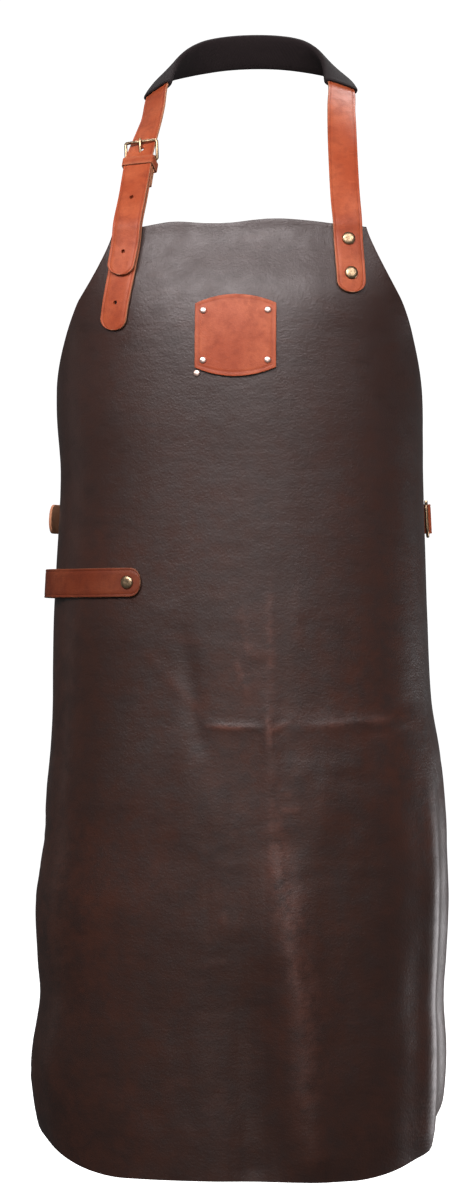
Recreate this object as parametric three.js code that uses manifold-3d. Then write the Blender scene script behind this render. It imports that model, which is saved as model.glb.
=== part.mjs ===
// A leather work apron hanging as it is worn: one curved sheet of leather, a padded neck strap
// with a buckle on the left, a riveted patch, a towel strap and a strap round the waist.
// Millimetres, +Z up, the front looks along -Y, +X is the viewer's right.
// The origin is the middle of the neck pad's inner face.
import * as THREE from 'three';
import Module from 'manifold-3d';
import { mergeVertices } from 'three/addons/utils/BufferGeometryUtils.js';

// the sheet
const sheetHalfWidth = 300;       // flat width is twice this
const sheetWall = 1.8;
const hipHalfWidth = 168;         // half width of the worn body at the waist
const bellyDepth = 108;           // from the body's axis to the front of the sheet
const bibTop = -176;
const bibHalfWidth = 116;         // along the leather, from the centre to the strap corner
const sideCorner = -425;          // where the armhole curve meets the straight side
const hemHeight = -1029;
const hemCornerWidth = 195;
const hemCornerHeight = 130;
const armholeCurve = 1.23;
const hemCornerPower = 1.65;      // 2 would be an ellipse

// straps
const strapWidth = 26.5;
const strapWall = 2.4;
const layerGap = 1.6;             // room for a flat rivet head between two straps
const sheetGap = 0.8;             // a strap lying on the curved sheet
const napeDepth = 88;             // from the body's axis to the middle of the strap at the nape
const strapTip = 9;               // how long the rounded end of a strap is
const holeRadius = 1.9;

// neck pad
const padWidth = strapWidth + 7;
const padThickness = 8;
const padSlotClearance = 0.5;

// metal
const rivetHeadRadius = 5.4;
const rivetHeadHeight = 2.3;
const rivetShankRadius = 1.5;
const washerRadius = 4.2;
const washerHeight = 0.8;
const flatHeadHeight = 0.9;
const smallHeadRadius = 3.1;
const smallHeadHeight = 1.5;
const metalGap = 0.3;
const headGap = 0.4;              // under a rivet head, on leather that bends
const washerGap = 1.3;            // a washer inside a bend of the leather
const rodRadius = 1.6;            // buckle wire
const prongRadius = 1.25;
const buckleWidth = strapWidth + 6.5;
const buckleLength = 15;
const buckleBend = 1.8;
const ringRodRadius = 1.5;
const ringLength = 16;
const ringBend = 7;

// patch, towel strap and waist strap
const patchWidth = 72;
const patchHeight = 57;           // straight part of its sides
const patchBow = 8;               // rise of its top and bottom arcs
const patchWall = 2;
const patchCentre = -281;
const patchRivetInset = 7.5;
const towelDown = 0.37925;
const towelHeight = bibTop + towelDown * (hemHeight - bibTop);
const towelWidth = 26;
const towelStandOff = 6.5;
const waistDown = 0.31067;        // share of the way from bib top to hem
const waistHeight = bibTop + waistDown * (hemHeight - bibTop);
const waistWidth = 27;
const ringHeight = waistWidth + 5;
const waistStandOff = 8;
const waistBackDepth = 118;

// Body sections, top to bottom. Heights are shares of the way from bib top to hem. Left and right
// are shares of the hip half width, front of the belly depth, back of the belly depth behind the
// side, and square is how boxy the section is.
const sections = [
  { down: 0.000, left: 1.120, right: 1.090, front: 0.78, back: 0.90, square: 2.10 },
  { down: 0.075, left: 1.075, right: 1.030, front: 0.91, back: 0.90, square: 2.10 },
  { down: 0.128, left: 1.038, right: 0.962, front: 0.96, back: 0.90, square: 2.10 },
  { down: 0.200, left: 1.034, right: 0.966, front: 0.98, back: 0.92, square: 2.15 },
  { down: 0.263, left: 1.012, right: 0.967, front: 0.98, back: 0.95, square: 2.20 },
  { down: 0.366, left: 1.036, right: 0.982, front: 0.99, back: 1.10, square: 2.25 },
  { down: 0.420, left: 1.048, right: 0.991, front: 1.00, back: 1.25, square: 2.30 },
  { down: 0.505, left: 1.054, right: 1.012, front: 1.01, back: 1.45, square: 2.35 },
  { down: 0.556, left: 1.065, right: 1.054, front: 1.02, back: 1.60, square: 2.40 },
  { down: 0.607, left: 1.087, right: 1.083, front: 1.03, back: 1.70, square: 2.45 },
  { down: 0.658, left: 1.096, right: 1.095, front: 1.03, back: 1.80, square: 2.50 },
  { down: 0.720, left: 1.129, right: 1.106, front: 1.04, back: 1.85, square: 2.50 },
  { down: 0.778, left: 1.119, right: 1.092, front: 1.04, back: 1.85, square: 2.50 },
  { down: 0.820, left: 1.104, right: 1.076, front: 1.04, back: 1.85, square: 2.50 },
  { down: 0.890, left: 1.153, right: 1.089, front: 1.04, back: 1.85, square: 2.50 },
  { down: 0.950, left: 1.120, right: 1.062, front: 1.04, back: 1.85, square: 2.50 },
  { down: 1.000, left: 1.070, right: 1.020, front: 1.04, back: 1.85, square: 2.50 },
];

// Folds in the leather. Across is a share of the sheet's half width, down a share of the way from
// bib top to hem; height and reach are millimetres, a positive height stands out.
const folds = [
  { acrossTop: 0.12, downTop: 0.655, acrossBottom: 0.26, downBottom: 1.02, height: 7, reach: 24 },
  { acrossTop: 0.02, downTop: 0.740, acrossBottom: 0.07, downBottom: 1.02, height: -4, reach: 22 },
  { acrossTop: -0.12, downTop: 0.510, acrossBottom: 0.09, downBottom: 0.525, height: 2.2, reach: 8 },
  { acrossTop: 0.09, downTop: 0.500, acrossBottom: 0.11, downBottom: 0.550, height: 2.6, reach: 7 },
  { acrossTop: 0.13, downTop: 0.519, acrossBottom: 0.60, downBottom: 0.520, height: 1.4, reach: 8 },
  { acrossTop: 0.64, downTop: 0.540, acrossBottom: 0.62, downBottom: 1.02, height: 5, reach: 13 },
  { acrossTop: 0.74, downTop: 0.560, acrossBottom: 0.75, downBottom: 1.02, height: -5, reach: 17 },
  { acrossTop: -0.73, downTop: 0.640, acrossBottom: -0.72, downBottom: 0.98, height: 3, reach: 14 },
  { acrossTop: -0.16, downTop: 0.420, acrossBottom: -0.10, downBottom: 0.560, height: -1.5, reach: 9 },
];

const wasm = await Module();
wasm.setup();

const vec = (x, y, z) => new THREE.Vector3(x, y, z);
const clamp = THREE.MathUtils.clamp;
const lerp = THREE.MathUtils.lerp;

const leather = (colour, roughness) =>
  new THREE.MeshStandardMaterial({ color: colour, roughness, metalness: 0 });
const darkLeather = leather('#47342f', 0.55);
const tanLeather = leather('#b4522f', 0.5);
const blackCloth = leather('#211a1a', 0.85);
const oldBrass = new THREE.MeshStandardMaterial({ color: '#8a6a3c', roughness: 0.35, metalness: 1 });
const copper = new THREE.MeshStandardMaterial({ color: '#d8a690', roughness: 0.3, metalness: 1 });

// Solids

function solidFrom(points, faces) {
  const geometry = new THREE.BufferGeometry();
  const values = new Float32Array(points.flatMap((p) => [p.x, p.y, p.z]));
  geometry.setAttribute('position', new THREE.BufferAttribute(values, 3));
  geometry.setIndex(faces.flat());
  const merged = mergeVertices(geometry, 1e-4);
  const vertProperties = merged.attributes.position.array;
  const triVerts = new Uint32Array(merged.index.array);
  if (signedVolume(vertProperties, triVerts) < 0) {
    for (let i = 0; i < triVerts.length; i += 3) {
      [triVerts[i + 1], triVerts[i + 2]] = [triVerts[i + 2], triVerts[i + 1]];
    }
  }
  return new wasm.Manifold(new wasm.Mesh({ numProp: 3, vertProperties, triVerts }));
}

function signedVolume(xyz, triangles) {
  const corner = (i) => vec(xyz[3 * i], xyz[3 * i + 1], xyz[3 * i + 2]);
  let volume = 0;
  for (let i = 0; i < triangles.length; i += 3) {
    const a = corner(triangles[i]);
    const b = corner(triangles[i + 1]);
    const c = corner(triangles[i + 2]);
    volume += a.dot(b.cross(c));
  }
  return volume;
}

// Joins rings of equal length into one skin; a closed run meets its own start.
function skin(rings, faces, start, closed) {
  const count = rings[0].length;
  const last = closed ? rings.length : rings.length - 1;
  for (let i = 0; i < last; i += 1) {
    const next = (i + 1) % rings.length;
    for (let j = 0; j < count; j += 1) {
      const k = (j + 1) % count;
      const a = start + i * count + j;
      const b = start + i * count + k;
      const c = start + next * count + k;
      const d = start + next * count + j;
      faces.push([a, b, c], [a, c, d]);
    }
  }
}

function loft(rings, closed = false) {
  const faces = [];
  const count = rings[0].length;
  skin(rings, faces, 0, closed);
  if (!closed) {
    const end = (rings.length - 1) * count;
    for (let j = 1; j < count - 1; j += 1) {
      faces.push([0, j + 1, j], [end, end + j, end + j + 1]);
    }
  }
  return solidFrom(rings.flat(), faces);
}

// A tube with a wall: outer and inner rings with the same counts, open at both ends.
function sleeve(outerRings, innerRings) {
  const faces = [];
  const count = outerRings[0].length;
  const shift = outerRings.length * count;
  skin(outerRings, faces, 0, false);
  const innerFaces = [];
  skin(innerRings, innerFaces, shift, false);
  faces.push(...innerFaces.map(([a, b, c]) => [a, c, b]));
  const end = shift - count;
  for (let j = 0; j < count; j += 1) {
    const k = (j + 1) % count;
    faces.push([k, j, shift + j], [k, shift + j, shift + k]);
    faces.push([end + j, end + k, shift + end + k], [end + j, shift + end + k, shift + end + j]);
  }
  return solidFrom([...outerRings.flat(), ...innerRings.flat()], faces);
}

function meshOf(name, solid, material) {
  const { vertProperties, triVerts } = solid.getMesh();
  const geometry = new THREE.BufferGeometry();
  geometry.setAttribute('position', new THREE.BufferAttribute(new Float32Array(vertProperties), 3));
  geometry.setIndex(new THREE.BufferAttribute(new Uint32Array(triVerts), 1));
  geometry.computeVertexNormals();
  const mesh = new THREE.Mesh(geometry, material);
  mesh.name = name;
  return mesh;
}

// The sheet's surface

function column(name, down) {
  let i = 0;
  while (i < sections.length - 2 && sections[i + 1].down < down) {
    i += 1;
  }
  const rows = [i - 1, i, i + 1, i + 2].map((k) => sections[clamp(k, 0, sections.length - 1)]);
  const [before, a, b, after] = rows;
  const t = clamp((down - a.down) / (b.down - a.down), 0, 1);
  const step = b.down - a.down;
  const slopeA = a === before ? 0 : (b[name] - before[name]) / (b.down - before.down);
  const slopeB = b === after ? 0 : (after[name] - a[name]) / (after.down - a.down);
  const t2 = t * t;
  const t3 = t2 * t;
  return (2 * t3 - 3 * t2 + 1) * a[name] + (t3 - 2 * t2 + t) * step * slopeA
    + (3 * t2 - 2 * t3) * b[name] + (t3 - t2) * step * slopeB;
}

const sectionCache = new Map();
const sectionSteps = 120;
const sectionSweep = 2.85;        // radians from the front to past the sheet's side edge
const downOf = (z) => (bibTop - z) / (bibTop - hemHeight);

// One side of a body section, from the front centre round to the back, with its running length.
function sectionAt(z, side) {
  const key = `${side} ${z.toFixed(3)}`;
  if (!sectionCache.has(key)) {
    const down = downOf(z);
    const halfWidth = hipHalfWidth * column(side > 0 ? 'right' : 'left', down);
    const front = bellyDepth * column('front', down);
    const back = bellyDepth * column('back', down);
    const power = 2 / column('square', down);
    const points = [];
    let length = 0;
    for (let i = 0; i <= sectionSteps; i += 1) {
      const angle = sectionSweep * i / sectionSteps;
      const cosine = Math.cos(angle);
      const depth = Math.abs(cosine) ** power * (cosine > 0 ? -front : back);
      const point = { x: side * halfWidth * Math.abs(Math.sin(angle)) ** power, y: depth };
      if (i > 0) {
        const last = points[i - 1];
        length += Math.hypot(point.x - last.x, point.y - last.y);
      }
      points.push({ ...point, length });
    }
    sectionCache.set(key, points);
  }
  return sectionCache.get(key);
}

function barePoint(s, z) {
  const points = sectionAt(z, s < 0 ? -1 : 1);
  const length = Math.abs(s);
  let low = 0;
  let high = points.length - 1;
  while (high - low > 1) {
    const middle = (low + high) >> 1;
    if (points[middle].length > length) {
      high = middle;
    } else {
      low = middle;
    }
  }
  const a = points[low];
  const b = points[high];
  const t = (length - a.length) / (b.length - a.length);
  return vec(lerp(a.x, b.x, t), lerp(a.y, b.y, t), z);
}

function foldHeight(s, z) {
  const across = s / sheetHalfWidth;
  const down = downOf(z);
  const tall = bibTop - hemHeight;
  let height = 0;
  for (const fold of folds) {
    const dx = (fold.acrossBottom - fold.acrossTop) * sheetHalfWidth;
    const dz = (fold.downBottom - fold.downTop) * tall;
    const px = (across - fold.acrossTop) * sheetHalfWidth;
    const pz = (down - fold.downTop) * tall;
    const long = Math.hypot(dx, dz);
    const along = (px * dx + pz * dz) / long;
    const aside = (px * dz - pz * dx) / long;
    const fade = clamp(along / (0.3 * long), 0, 1) * clamp((long - along) / (0.15 * long) + 0.2, 0, 1);
    height += fold.height * fade * Math.exp(-((aside / fold.reach) ** 2));
  }
  return height;
}

const probe = 2;

function bareNormal(s, z) {
  const across = barePoint(s + probe, z).sub(barePoint(s - probe, z));
  const up = barePoint(s, z + probe).sub(barePoint(s, z - probe));
  return across.cross(up).normalize();
}

// A point on the leather's outer face, or lift millimetres outside it.
function sheetPoint(s, z, lift = 0) {
  const normal = bareNormal(s, z);
  return barePoint(s, z).addScaledVector(normal, lift + foldHeight(s, z));
}

// The direction up the leather at a place.
const upTheSheet = (s, z) => barePoint(s, z + probe).sub(barePoint(s, z - probe)).normalize();

// The running length along the leather that lies at x, at a height.
function acrossAt(x, z) {
  const halvings = 40;
  let low = x < 0 ? -sheetHalfWidth : 0;
  let high = x < 0 ? 0 : sheetHalfWidth * 0.75;
  for (let i = 0; i < halvings; i += 1) {
    const middle = (low + high) / 2;
    if (barePoint(middle, z).x > x) {
      high = middle;
    } else {
      low = middle;
    }
  }
  return (low + high) / 2;
}

// The sheet's cut outline

const bibTopDrop = 8.5;
const bibTopCrown = 28;           // the top edge is highest this far right of the centre
const topEdgeFade = 70;

function halfWidthAt(z) {
  const cornerTop = hemHeight + hemCornerHeight;
  if (z > sideCorner) {
    const t = clamp((bibTop - z) / (bibTop - sideCorner), 0, 1);
    return lerp(bibHalfWidth, sheetHalfWidth, t ** armholeCurve);
  }
  if (z < cornerTop) {
    const t = clamp((cornerTop - z) / hemCornerHeight, 0, 1);
    return sheetHalfWidth - hemCornerWidth * (1 - (1 - t ** hemCornerPower) ** (1 / hemCornerPower));
  }
  return sheetHalfWidth;
}

function sheetRows() {
  const rows = [];
  const bibRows = 8;
  const sideRows = 13;
  const cornerRows = 7;
  const cornerTop = hemHeight + hemCornerHeight;
  for (let i = 0; i < bibRows; i += 1) {
    rows.push(lerp(bibTop, sideCorner, i / bibRows));
  }
  for (let i = 0; i < sideRows; i += 1) {
    rows.push(lerp(sideCorner, cornerTop, i / sideRows));
  }
  for (let i = 0; i <= cornerRows; i += 1) {
    rows.push(cornerTop - hemCornerHeight * Math.sin((Math.PI / 2) * i / cornerRows));
  }
  return rows;
}

function topWave(s, z) {
  const fade = clamp(1 - (bibTop - z) / topEdgeFade, 0, 1);
  return -bibTopDrop * fade * ((s - bibTopCrown) / bibHalfWidth) ** 2;
}

function sheetSolid() {
  const columns = 36;
  const rows = sheetRows();
  const grid = [];
  for (const z of rows) {
    for (let j = 0; j <= columns; j += 1) {
      const s = (2 * j / columns - 1) * halfWidthAt(z);
      grid.push([s, z + topWave(s, z)]);
    }
  }
  const outer = grid.map(([s, z]) => sheetPoint(s, z));
  const inner = grid.map(([s, z]) => sheetPoint(s, z, -sheetWall));
  const shift = outer.length;
  const faces = [];
  const at = (i, j) => i * (columns + 1) + j;
  for (let i = 0; i < rows.length - 1; i += 1) {
    for (let j = 0; j < columns; j += 1) {
      const [a, b, c, d] = [at(i, j), at(i, j + 1), at(i + 1, j + 1), at(i + 1, j)];
      faces.push([a, c, b], [a, d, c]);
      faces.push([a + shift, b + shift, c + shift], [a + shift, c + shift, d + shift]);
    }
  }
  const rim = [];
  for (let j = 0; j < columns; j += 1) {
    rim.push(at(0, j));
  }
  for (let i = 0; i < rows.length - 1; i += 1) {
    rim.push(at(i, columns));
  }
  for (let j = columns; j > 0; j -= 1) {
    rim.push(at(rows.length - 1, j));
  }
  for (let i = rows.length - 1; i > 0; i -= 1) {
    rim.push(at(i, 0));
  }
  rim.forEach((a, k) => {
    const b = rim[(k + 1) % rim.length];
    faces.push([a, b, b + shift], [a, b + shift, a + shift]);
  });
  return solidFrom([...outer, ...inner], faces);
}

// Straps: a route is a list of stations, each with its middle point and its across direction,
// which points to the strap's inner or upper edge.

function smoothRoute(stations, spacing) {
  const curve = new THREE.CatmullRomCurve3(stations.map((s) => s.at), false, 'centripetal');
  const total = curve.getLength();
  const marks = [0];
  for (let i = 1; i < stations.length; i += 1) {
    marks.push(i / (stations.length - 1));
  }
  const count = Math.max(2, Math.round(total / spacing));
  const route = [];
  for (let i = 0; i <= count; i += 1) {
    const u = curve.getUtoTmapping(i / count);
    const k = Math.min(stations.length - 2, Math.floor(u * (stations.length - 1)));
    const t = (u - marks[k]) / (marks[k + 1] - marks[k]);
    const tangent = curve.getTangent(u);
    const across = stations[k].across.clone().lerp(stations[k + 1].across, t);
    across.addScaledVector(tangent, -across.dot(tangent)).normalize();
    route.push({ at: curve.getPoint(u), across, tangent, along: total * i / count });
  }
  return route;
}

// The outward face of a strap at a station, away from the wearer.
const faceOf = (station) => station.tangent.clone().cross(station.across).normalize();

function offsetRoute(route, distance) {
  return route.map((station) => ({
    ...station,
    at: station.at.clone().addScaledVector(faceOf(station), distance),
  }));
}

function roundedWidth(width, toEnd) {
  const t = clamp(1 - toEnd / strapTip, 0, 1);
  return width * Math.max(0.42, Math.sqrt(1 - t ** 2.4));
}

function strapRing(station, width, wall) {
  const normal = faceOf(station);
  const w = width / 2;
  const t = wall / 2;
  const corners = [[-w, -t], [w, -t], [w, t], [-w, t]];
  return corners.map(([a, b]) =>
    station.at.clone().addScaledVector(station.across, a).addScaledVector(normal, b));
}

// A flat strap along a route; tips says which of its two ends are rounded.
function strapSolid(route, width, wall, tips) {
  const total = route[route.length - 1].along - route[0].along;
  const rings = [];
  for (const station of route) {
    const done = station.along - route[0].along;
    let here = width;
    if (tips[0]) {
      here = Math.min(here, roundedWidth(width, done));
    }
    if (tips[1]) {
      here = Math.min(here, roundedWidth(width, total - done));
    }
    rings.push(strapRing(station, here, wall));
  }
  return loft(rings);
}

// Adds close stations near an end, so that its round tip is smooth.
function denseEnd(route, atEnd) {
  const list = atEnd ? [...route].reverse() : [...route];
  const origin = list[0].along;
  const near = list.filter((s) => Math.abs(s.along - origin) > strapTip);
  const first = list[0];
  const after = near[0];
  const reach = Math.abs(after.along - origin);
  const extra = [0, 0.6, 1.8, 3.6, 6].map((d) => {
    const t = d / reach;
    return {
      at: first.at.clone().lerp(after.at, t),
      across: first.across.clone().lerp(after.across, t).normalize(),
      tangent: first.tangent.clone().lerp(after.tangent, t).normalize(),
      along: origin + Math.sign(after.along - origin) * d,
    };
  });
  const result = [...extra, ...near];
  return atEnd ? result.reverse() : result;
}

// Straight pins and round heads

function turned(profile, base, axis, segments) {
  const side = Math.abs(axis.z) < 0.9 ? vec(0, 0, 1) : vec(1, 0, 0);
  const u = side.clone().cross(axis).normalize();
  const v = axis.clone().cross(u).normalize();
  const rings = profile.map(([radius, height]) => {
    const ring = [];
    for (let i = 0; i < segments; i += 1) {
      const angle = 2 * Math.PI * i / segments;
      ring.push(base.clone()
        .addScaledVector(u, radius * Math.cos(angle))
        .addScaledVector(v, radius * Math.sin(angle))
        .addScaledVector(axis, height));
    }
    return ring;
  });
  return loft(rings);
}

const headSegments = 8;

// A rivet whose shank starts at the washer inside the sheet and ends in a head outside.
function rivetSolid(seat, axis, grip, headRadius, headHeight) {
  const inner = -grip;
  const washer = Math.min(washerRadius, headRadius);
  return turned([
    [washer, inner - washerHeight],
    [washer, inner],
    [rivetShankRadius, inner],
    [rivetShankRadius, headGap],
    [headRadius, headGap],
    [headRadius * 0.85, headGap + headHeight * 0.7],
    [headRadius * 0.35, headGap + headHeight],
  ], seat, axis, headSegments);
}

const pinHole = (seat, axis, reach, radius) =>
  turned([[radius, -reach], [radius, reach]], seat, axis, headSegments);

// Bent wire

function wireSolid(points, radius, closed, segments = 6) {
  const rings = points.map((point, i) => {
    const before = closed ? points.at(i - 1) : points[Math.max(0, i - 1)];
    const after = closed ? points[(i + 1) % points.length] : points[Math.min(points.length - 1, i + 1)];
    const tangent = after.clone().sub(before).normalize();
    const guide = wireGuide(points);
    const u = guide.clone().addScaledVector(tangent, -guide.dot(tangent)).normalize();
    const v = tangent.clone().cross(u);
    const ring = [];
    for (let k = 0; k < segments; k += 1) {
      const angle = 2 * Math.PI * k / segments;
      ring.push(point.clone()
        .addScaledVector(u, radius * Math.cos(angle))
        .addScaledVector(v, radius * Math.sin(angle)));
    }
    return ring;
  });
  return loft(rings, closed);
}

// A direction square to the plane of a bent wire.
function wireGuide(points) {
  const a = points[0];
  const b = points[Math.floor(points.length / 3)];
  const c = points[Math.floor(2 * points.length / 3)];
  const normal = b.clone().sub(a).cross(c.clone().sub(a));
  return normal.lengthSq() > 1e-6 ? normal.normalize() : vec(1, 0, 0);
}

// A rectangle of wire with round corners; start is the middle of its first bar.
function wireLoop(start, across, along, width, length, radius, startBend, endBend) {
  const points = [];
  const corners = [[1, 0], [1, 1], [-1, 1], [-1, 0]];
  const steps = 4;
  corners.forEach(([a, b], k) => {
    const bend = b === 0 ? startBend : endBend;
    const cornerU = a * (width / 2 - bend);
    const cornerV = b === 0 ? bend : length - bend;
    const from = [-Math.PI / 2, 0, Math.PI / 2, Math.PI][k];
    for (let i = 0; i <= steps; i += 1) {
      const angle = from + (Math.PI / 2) * i / steps;
      points.push(start.clone()
        .addScaledVector(across, cornerU + bend * Math.cos(angle))
        .addScaledVector(along, cornerV + bend * Math.sin(angle)));
    }
  });
  return wireSolid(points, radius, true);
}

// Routes of the neck loop

// A station of a strap that lies on the sheet; its across direction follows the leather inwards.
function onSheet(x, z, lift) {
  const s = acrossAt(x, z);
  const across = barePoint(s - probe, z).sub(barePoint(s + probe, z)).normalize();
  if (x < 0) {
    across.negate();
  }
  return { at: sheetPoint(s, z, lift), across };
}

const onBib = sheetGap + strapWall / 2;
const nextLayer = strapWall + layerGap;

// The right half, from its end on the bib up to the neck.
const rightStations = [
  onSheet(101.4, -242, onBib),
  onSheet(100.3, -222.6, onBib),
  onSheet(98.2, -198, onBib),
  onSheet(97.6, -188, onBib),
  onSheet(97.1, -178, onBib + 0.4),
  { at: vec(95, -65, -153), across: vec(-1, 0, 0) },
  { at: vec(91.2, -37, -108), across: vec(-1, 0, 0) },
  { at: vec(88, -2, -68), across: vec(-0.94, -0.25, 0.2) },
  { at: vec(85.5, 33, -40), across: vec(-0.89, -0.36, 0.28) },
  { at: vec(75, 60, -20), across: vec(-0.66, -0.45, 0.6) },
  { at: vec(45, 80, -4), across: vec(-0.3, -0.45, 0.84) },
];
const napeStation = { at: vec(0, napeDepth, 1.5), across: vec(0, -0.5, 0.866) };

// The left half carries the buckle; these are the middle points of the buckle strap that lies
// behind the hanging end, from the turn at the buckle down to the bib.
const buckleAt = vec(-92.6, -35.5, -114.5);
const anchorStations = [
  { at: buckleAt, across: vec(0.9, -0.43, -0.24) },
  { at: vec(-93.6, -43.5, -126.5), across: vec(0.93, -0.36, -0.16) },
  { at: vec(-95.6, -61, -153), across: vec(0.96, -0.3, 0) },
  onSheet(-98.2, -181, onBib + 1),
  onSheet(-99.6, -196, onBib),
  onSheet(-103.6, -222, onBib),
  onSheet(-108.6, -250, onBib),
  onSheet(-111.8, -274, onBib),
];
const anchorRoute = smoothRoute(anchorStations, 3.5);
const hangingLength = 126;        // of the strap's free end below the buckle
const hangingRoute = offsetRoute(anchorRoute, nextLayer)
  .filter((station) => station.along < hangingLength);

const leftStations = [
  { at: vec(-45, 80, -4), across: vec(0.3, -0.45, 0.84) },
  { at: vec(-75, 60, -20), across: vec(0.66, -0.45, 0.6) },
  { at: vec(-84.5, 33, -41), across: vec(0.76, -0.55, 0.34) },
  { at: vec(-84.4, -2, -71), across: vec(0.82, -0.54, 0.06) },
];

const neckStations = [...rightStations, napeStation, ...leftStations];
hangingRoute.filter((station, i) => i % 3 === 1 || i === hangingRoute.length - 1)
  .forEach((station) => neckStations.push({ at: station.at, across: station.across }));

const strapSpacing = 7;
const neckRoute = smoothRoute(neckStations, strapSpacing);

// Pieces of the neck loop

function nearest(route, point) {
  return route.reduce((best, s) => (s.at.distanceTo(point) < best.at.distanceTo(point) ? s : best));
}

function padSolid() {
  const mouthDepth = 30;          // the pad covers the strap behind this depth
  const covered = neckRoute.filter((s) => s.at.y > mouthDepth);
  const around = 12;
  const ring = (station, width, thickness, roundness) => {
    const normal = faceOf(station);
    const points = [];
    for (let i = 0; i < around; i += 1) {
      const angle = 2 * Math.PI * i / around;
      const a = Math.sign(Math.cos(angle)) * Math.abs(Math.cos(angle)) ** roundness * width / 2;
      const b = Math.sign(Math.sin(angle)) * Math.abs(Math.sin(angle)) ** roundness * thickness / 2;
      points.push(station.at.clone()
        .addScaledVector(station.across, a)
        .addScaledVector(normal, b));
    }
    return points;
  };
  const slotWidth = strapWidth + 4 * padSlotClearance;
  const slotHeight = strapWall + 4.4 * padSlotClearance;
  const outer = covered.map((s) => ring(s, padWidth, padThickness, 0.6));
  const inner = covered.map((s) => ring(s, slotWidth, slotHeight, 0.3));
  return sleeve(outer, inner);
}

// The buckle: hinge bar in the turn of the buckle strap, outer bar over the hanging strap.
const turnRadius = rodRadius + metalGap + strapWall / 2;
const buckleStation = anchorRoute[0];
const buckleFace = faceOf(buckleStation);
const buckleUp = buckleStation.tangent.clone().negate();
const hingeMiddle = buckleStation.at.clone().addScaledVector(buckleFace, -turnRadius);
const neckAtBar = nearest(neckRoute, buckleStation.at.clone().addScaledVector(buckleUp, buckleLength));
const barGap = 0.05 * strapWidth;   // the bar lies a little askew to the strap
const outerBarMiddle = neckAtBar.at.clone()
  .addScaledVector(faceOf(neckAtBar), strapWall / 2 + barGap + rodRadius);
const frameAlong = outerBarMiddle.clone().sub(hingeMiddle);
const frameLength = frameAlong.length();
frameAlong.normalize();

function buckleFrame() {
  return wireLoop(hingeMiddle, buckleStation.across, frameAlong, buckleWidth, frameLength, rodRadius,
    buckleBend, buckleBend);
}

// The prong; a wider one with more of its eye and tip cuts its own way through the straps.
function buckleProng(radius, extra) {
  const points = [];
  const eyeRadius = rodRadius + metalGap + prongRadius;
  const out = buckleStation.across.clone().cross(frameAlong).normalize();
  const steps = 9;
  const eyeSweep = 1.35 * Math.PI + extra / eyeRadius;
  for (let i = 0; i <= steps; i += 1) {
    const angle = Math.PI / 2 + eyeSweep * (1 - i / steps);
    points.push(hingeMiddle.clone()
      .addScaledVector(frameAlong, eyeRadius * Math.cos(angle))
      .addScaledVector(out, eyeRadius * Math.sin(angle)));
  }
  const rise = rodRadius + metalGap + prongRadius;
  points.push(hingeMiddle.clone().addScaledVector(frameAlong, frameLength * 0.45)
    .addScaledVector(out, rise * 1.12));
  points.push(outerBarMiddle.clone().addScaledVector(out, rise));
  points.push(outerBarMiddle.clone().addScaledVector(frameAlong, rodRadius * 1.5 + extra)
    .addScaledVector(out, rise * 0.8));
  return wireSolid(points, radius, false);
}

// The buckle strap turns back over the hinge bar and runs down behind itself.
function anchorRouteWithTurn() {
  const turnSteps = 8;
  const backLength = 33;
  const turned180 = [];
  for (let i = 1; i < turnSteps; i += 1) {
    const angle = Math.PI * i / turnSteps;
    const at = hingeMiddle.clone()
      .addScaledVector(buckleFace, turnRadius * Math.cos(angle))
      .addScaledVector(buckleUp, turnRadius * Math.sin(angle));
    const tangent = buckleFace.clone().multiplyScalar(Math.sin(angle))
      .addScaledVector(buckleUp, -Math.cos(angle));
    turned180.push({ at, across: buckleStation.across.clone(), tangent, along: 0 });
  }
  const back = anchorRoute.filter((s) => s.along < backLength).map((s) => {
    const t = clamp(s.along / (backLength * 0.4), 0, 1);
    const apart = lerp(2 * turnRadius, nextLayer, t * t * (3 - 2 * t));
    return {
      at: s.at.clone().addScaledVector(faceOf(s), -apart),
      across: s.across.clone(),
      tangent: s.tangent.clone().negate(),
      along: 0,
    };
  });
  const whole = [...back.reverse(), ...turned180.reverse(), ...denseEnd(anchorRoute, true)];
  let along = 0;
  return whole.map((station, i) => {
    if (i > 0) {
      along += station.at.distanceTo(whole[i - 1].at);
    }
    return { ...station, along };
  });
}

// A leather loop round the straps; lowest and highest are depths along the face direction.
function keeperSolid(station, innerWidth, lowest, highest, height) {
  const wall = 1.7;
  const normal = faceOf(station);
  const corner = 1.2;
  const outline = (grow) => {
    const w = innerWidth / 2 + grow;
    const points = [];
    const round = corner + grow;
    const low = lowest - grow;
    const high = highest + grow;
    const centres = [[w - round, high - round], [-w + round, high - round],
      [-w + round, low + round], [w - round, low + round]];
    centres.forEach(([a, b], k) => {
      for (let i = 0; i <= 2; i += 1) {
        const angle = (Math.PI / 2) * (k + i / 2);
        points.push([a + round * Math.cos(angle), b + round * Math.sin(angle)]);
      }
    });
    return points;
  };
  const ringAt = (grow, shift) => outline(grow).map(([a, b]) => station.at.clone()
    .addScaledVector(station.across, a)
    .addScaledVector(normal, b)
    .addScaledVector(station.tangent, shift));
  const half = height / 2;
  return sleeve([ringAt(wall, -half), ringAt(wall, half)], [ringAt(0, -half), ringAt(0, half)]);
}

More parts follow.
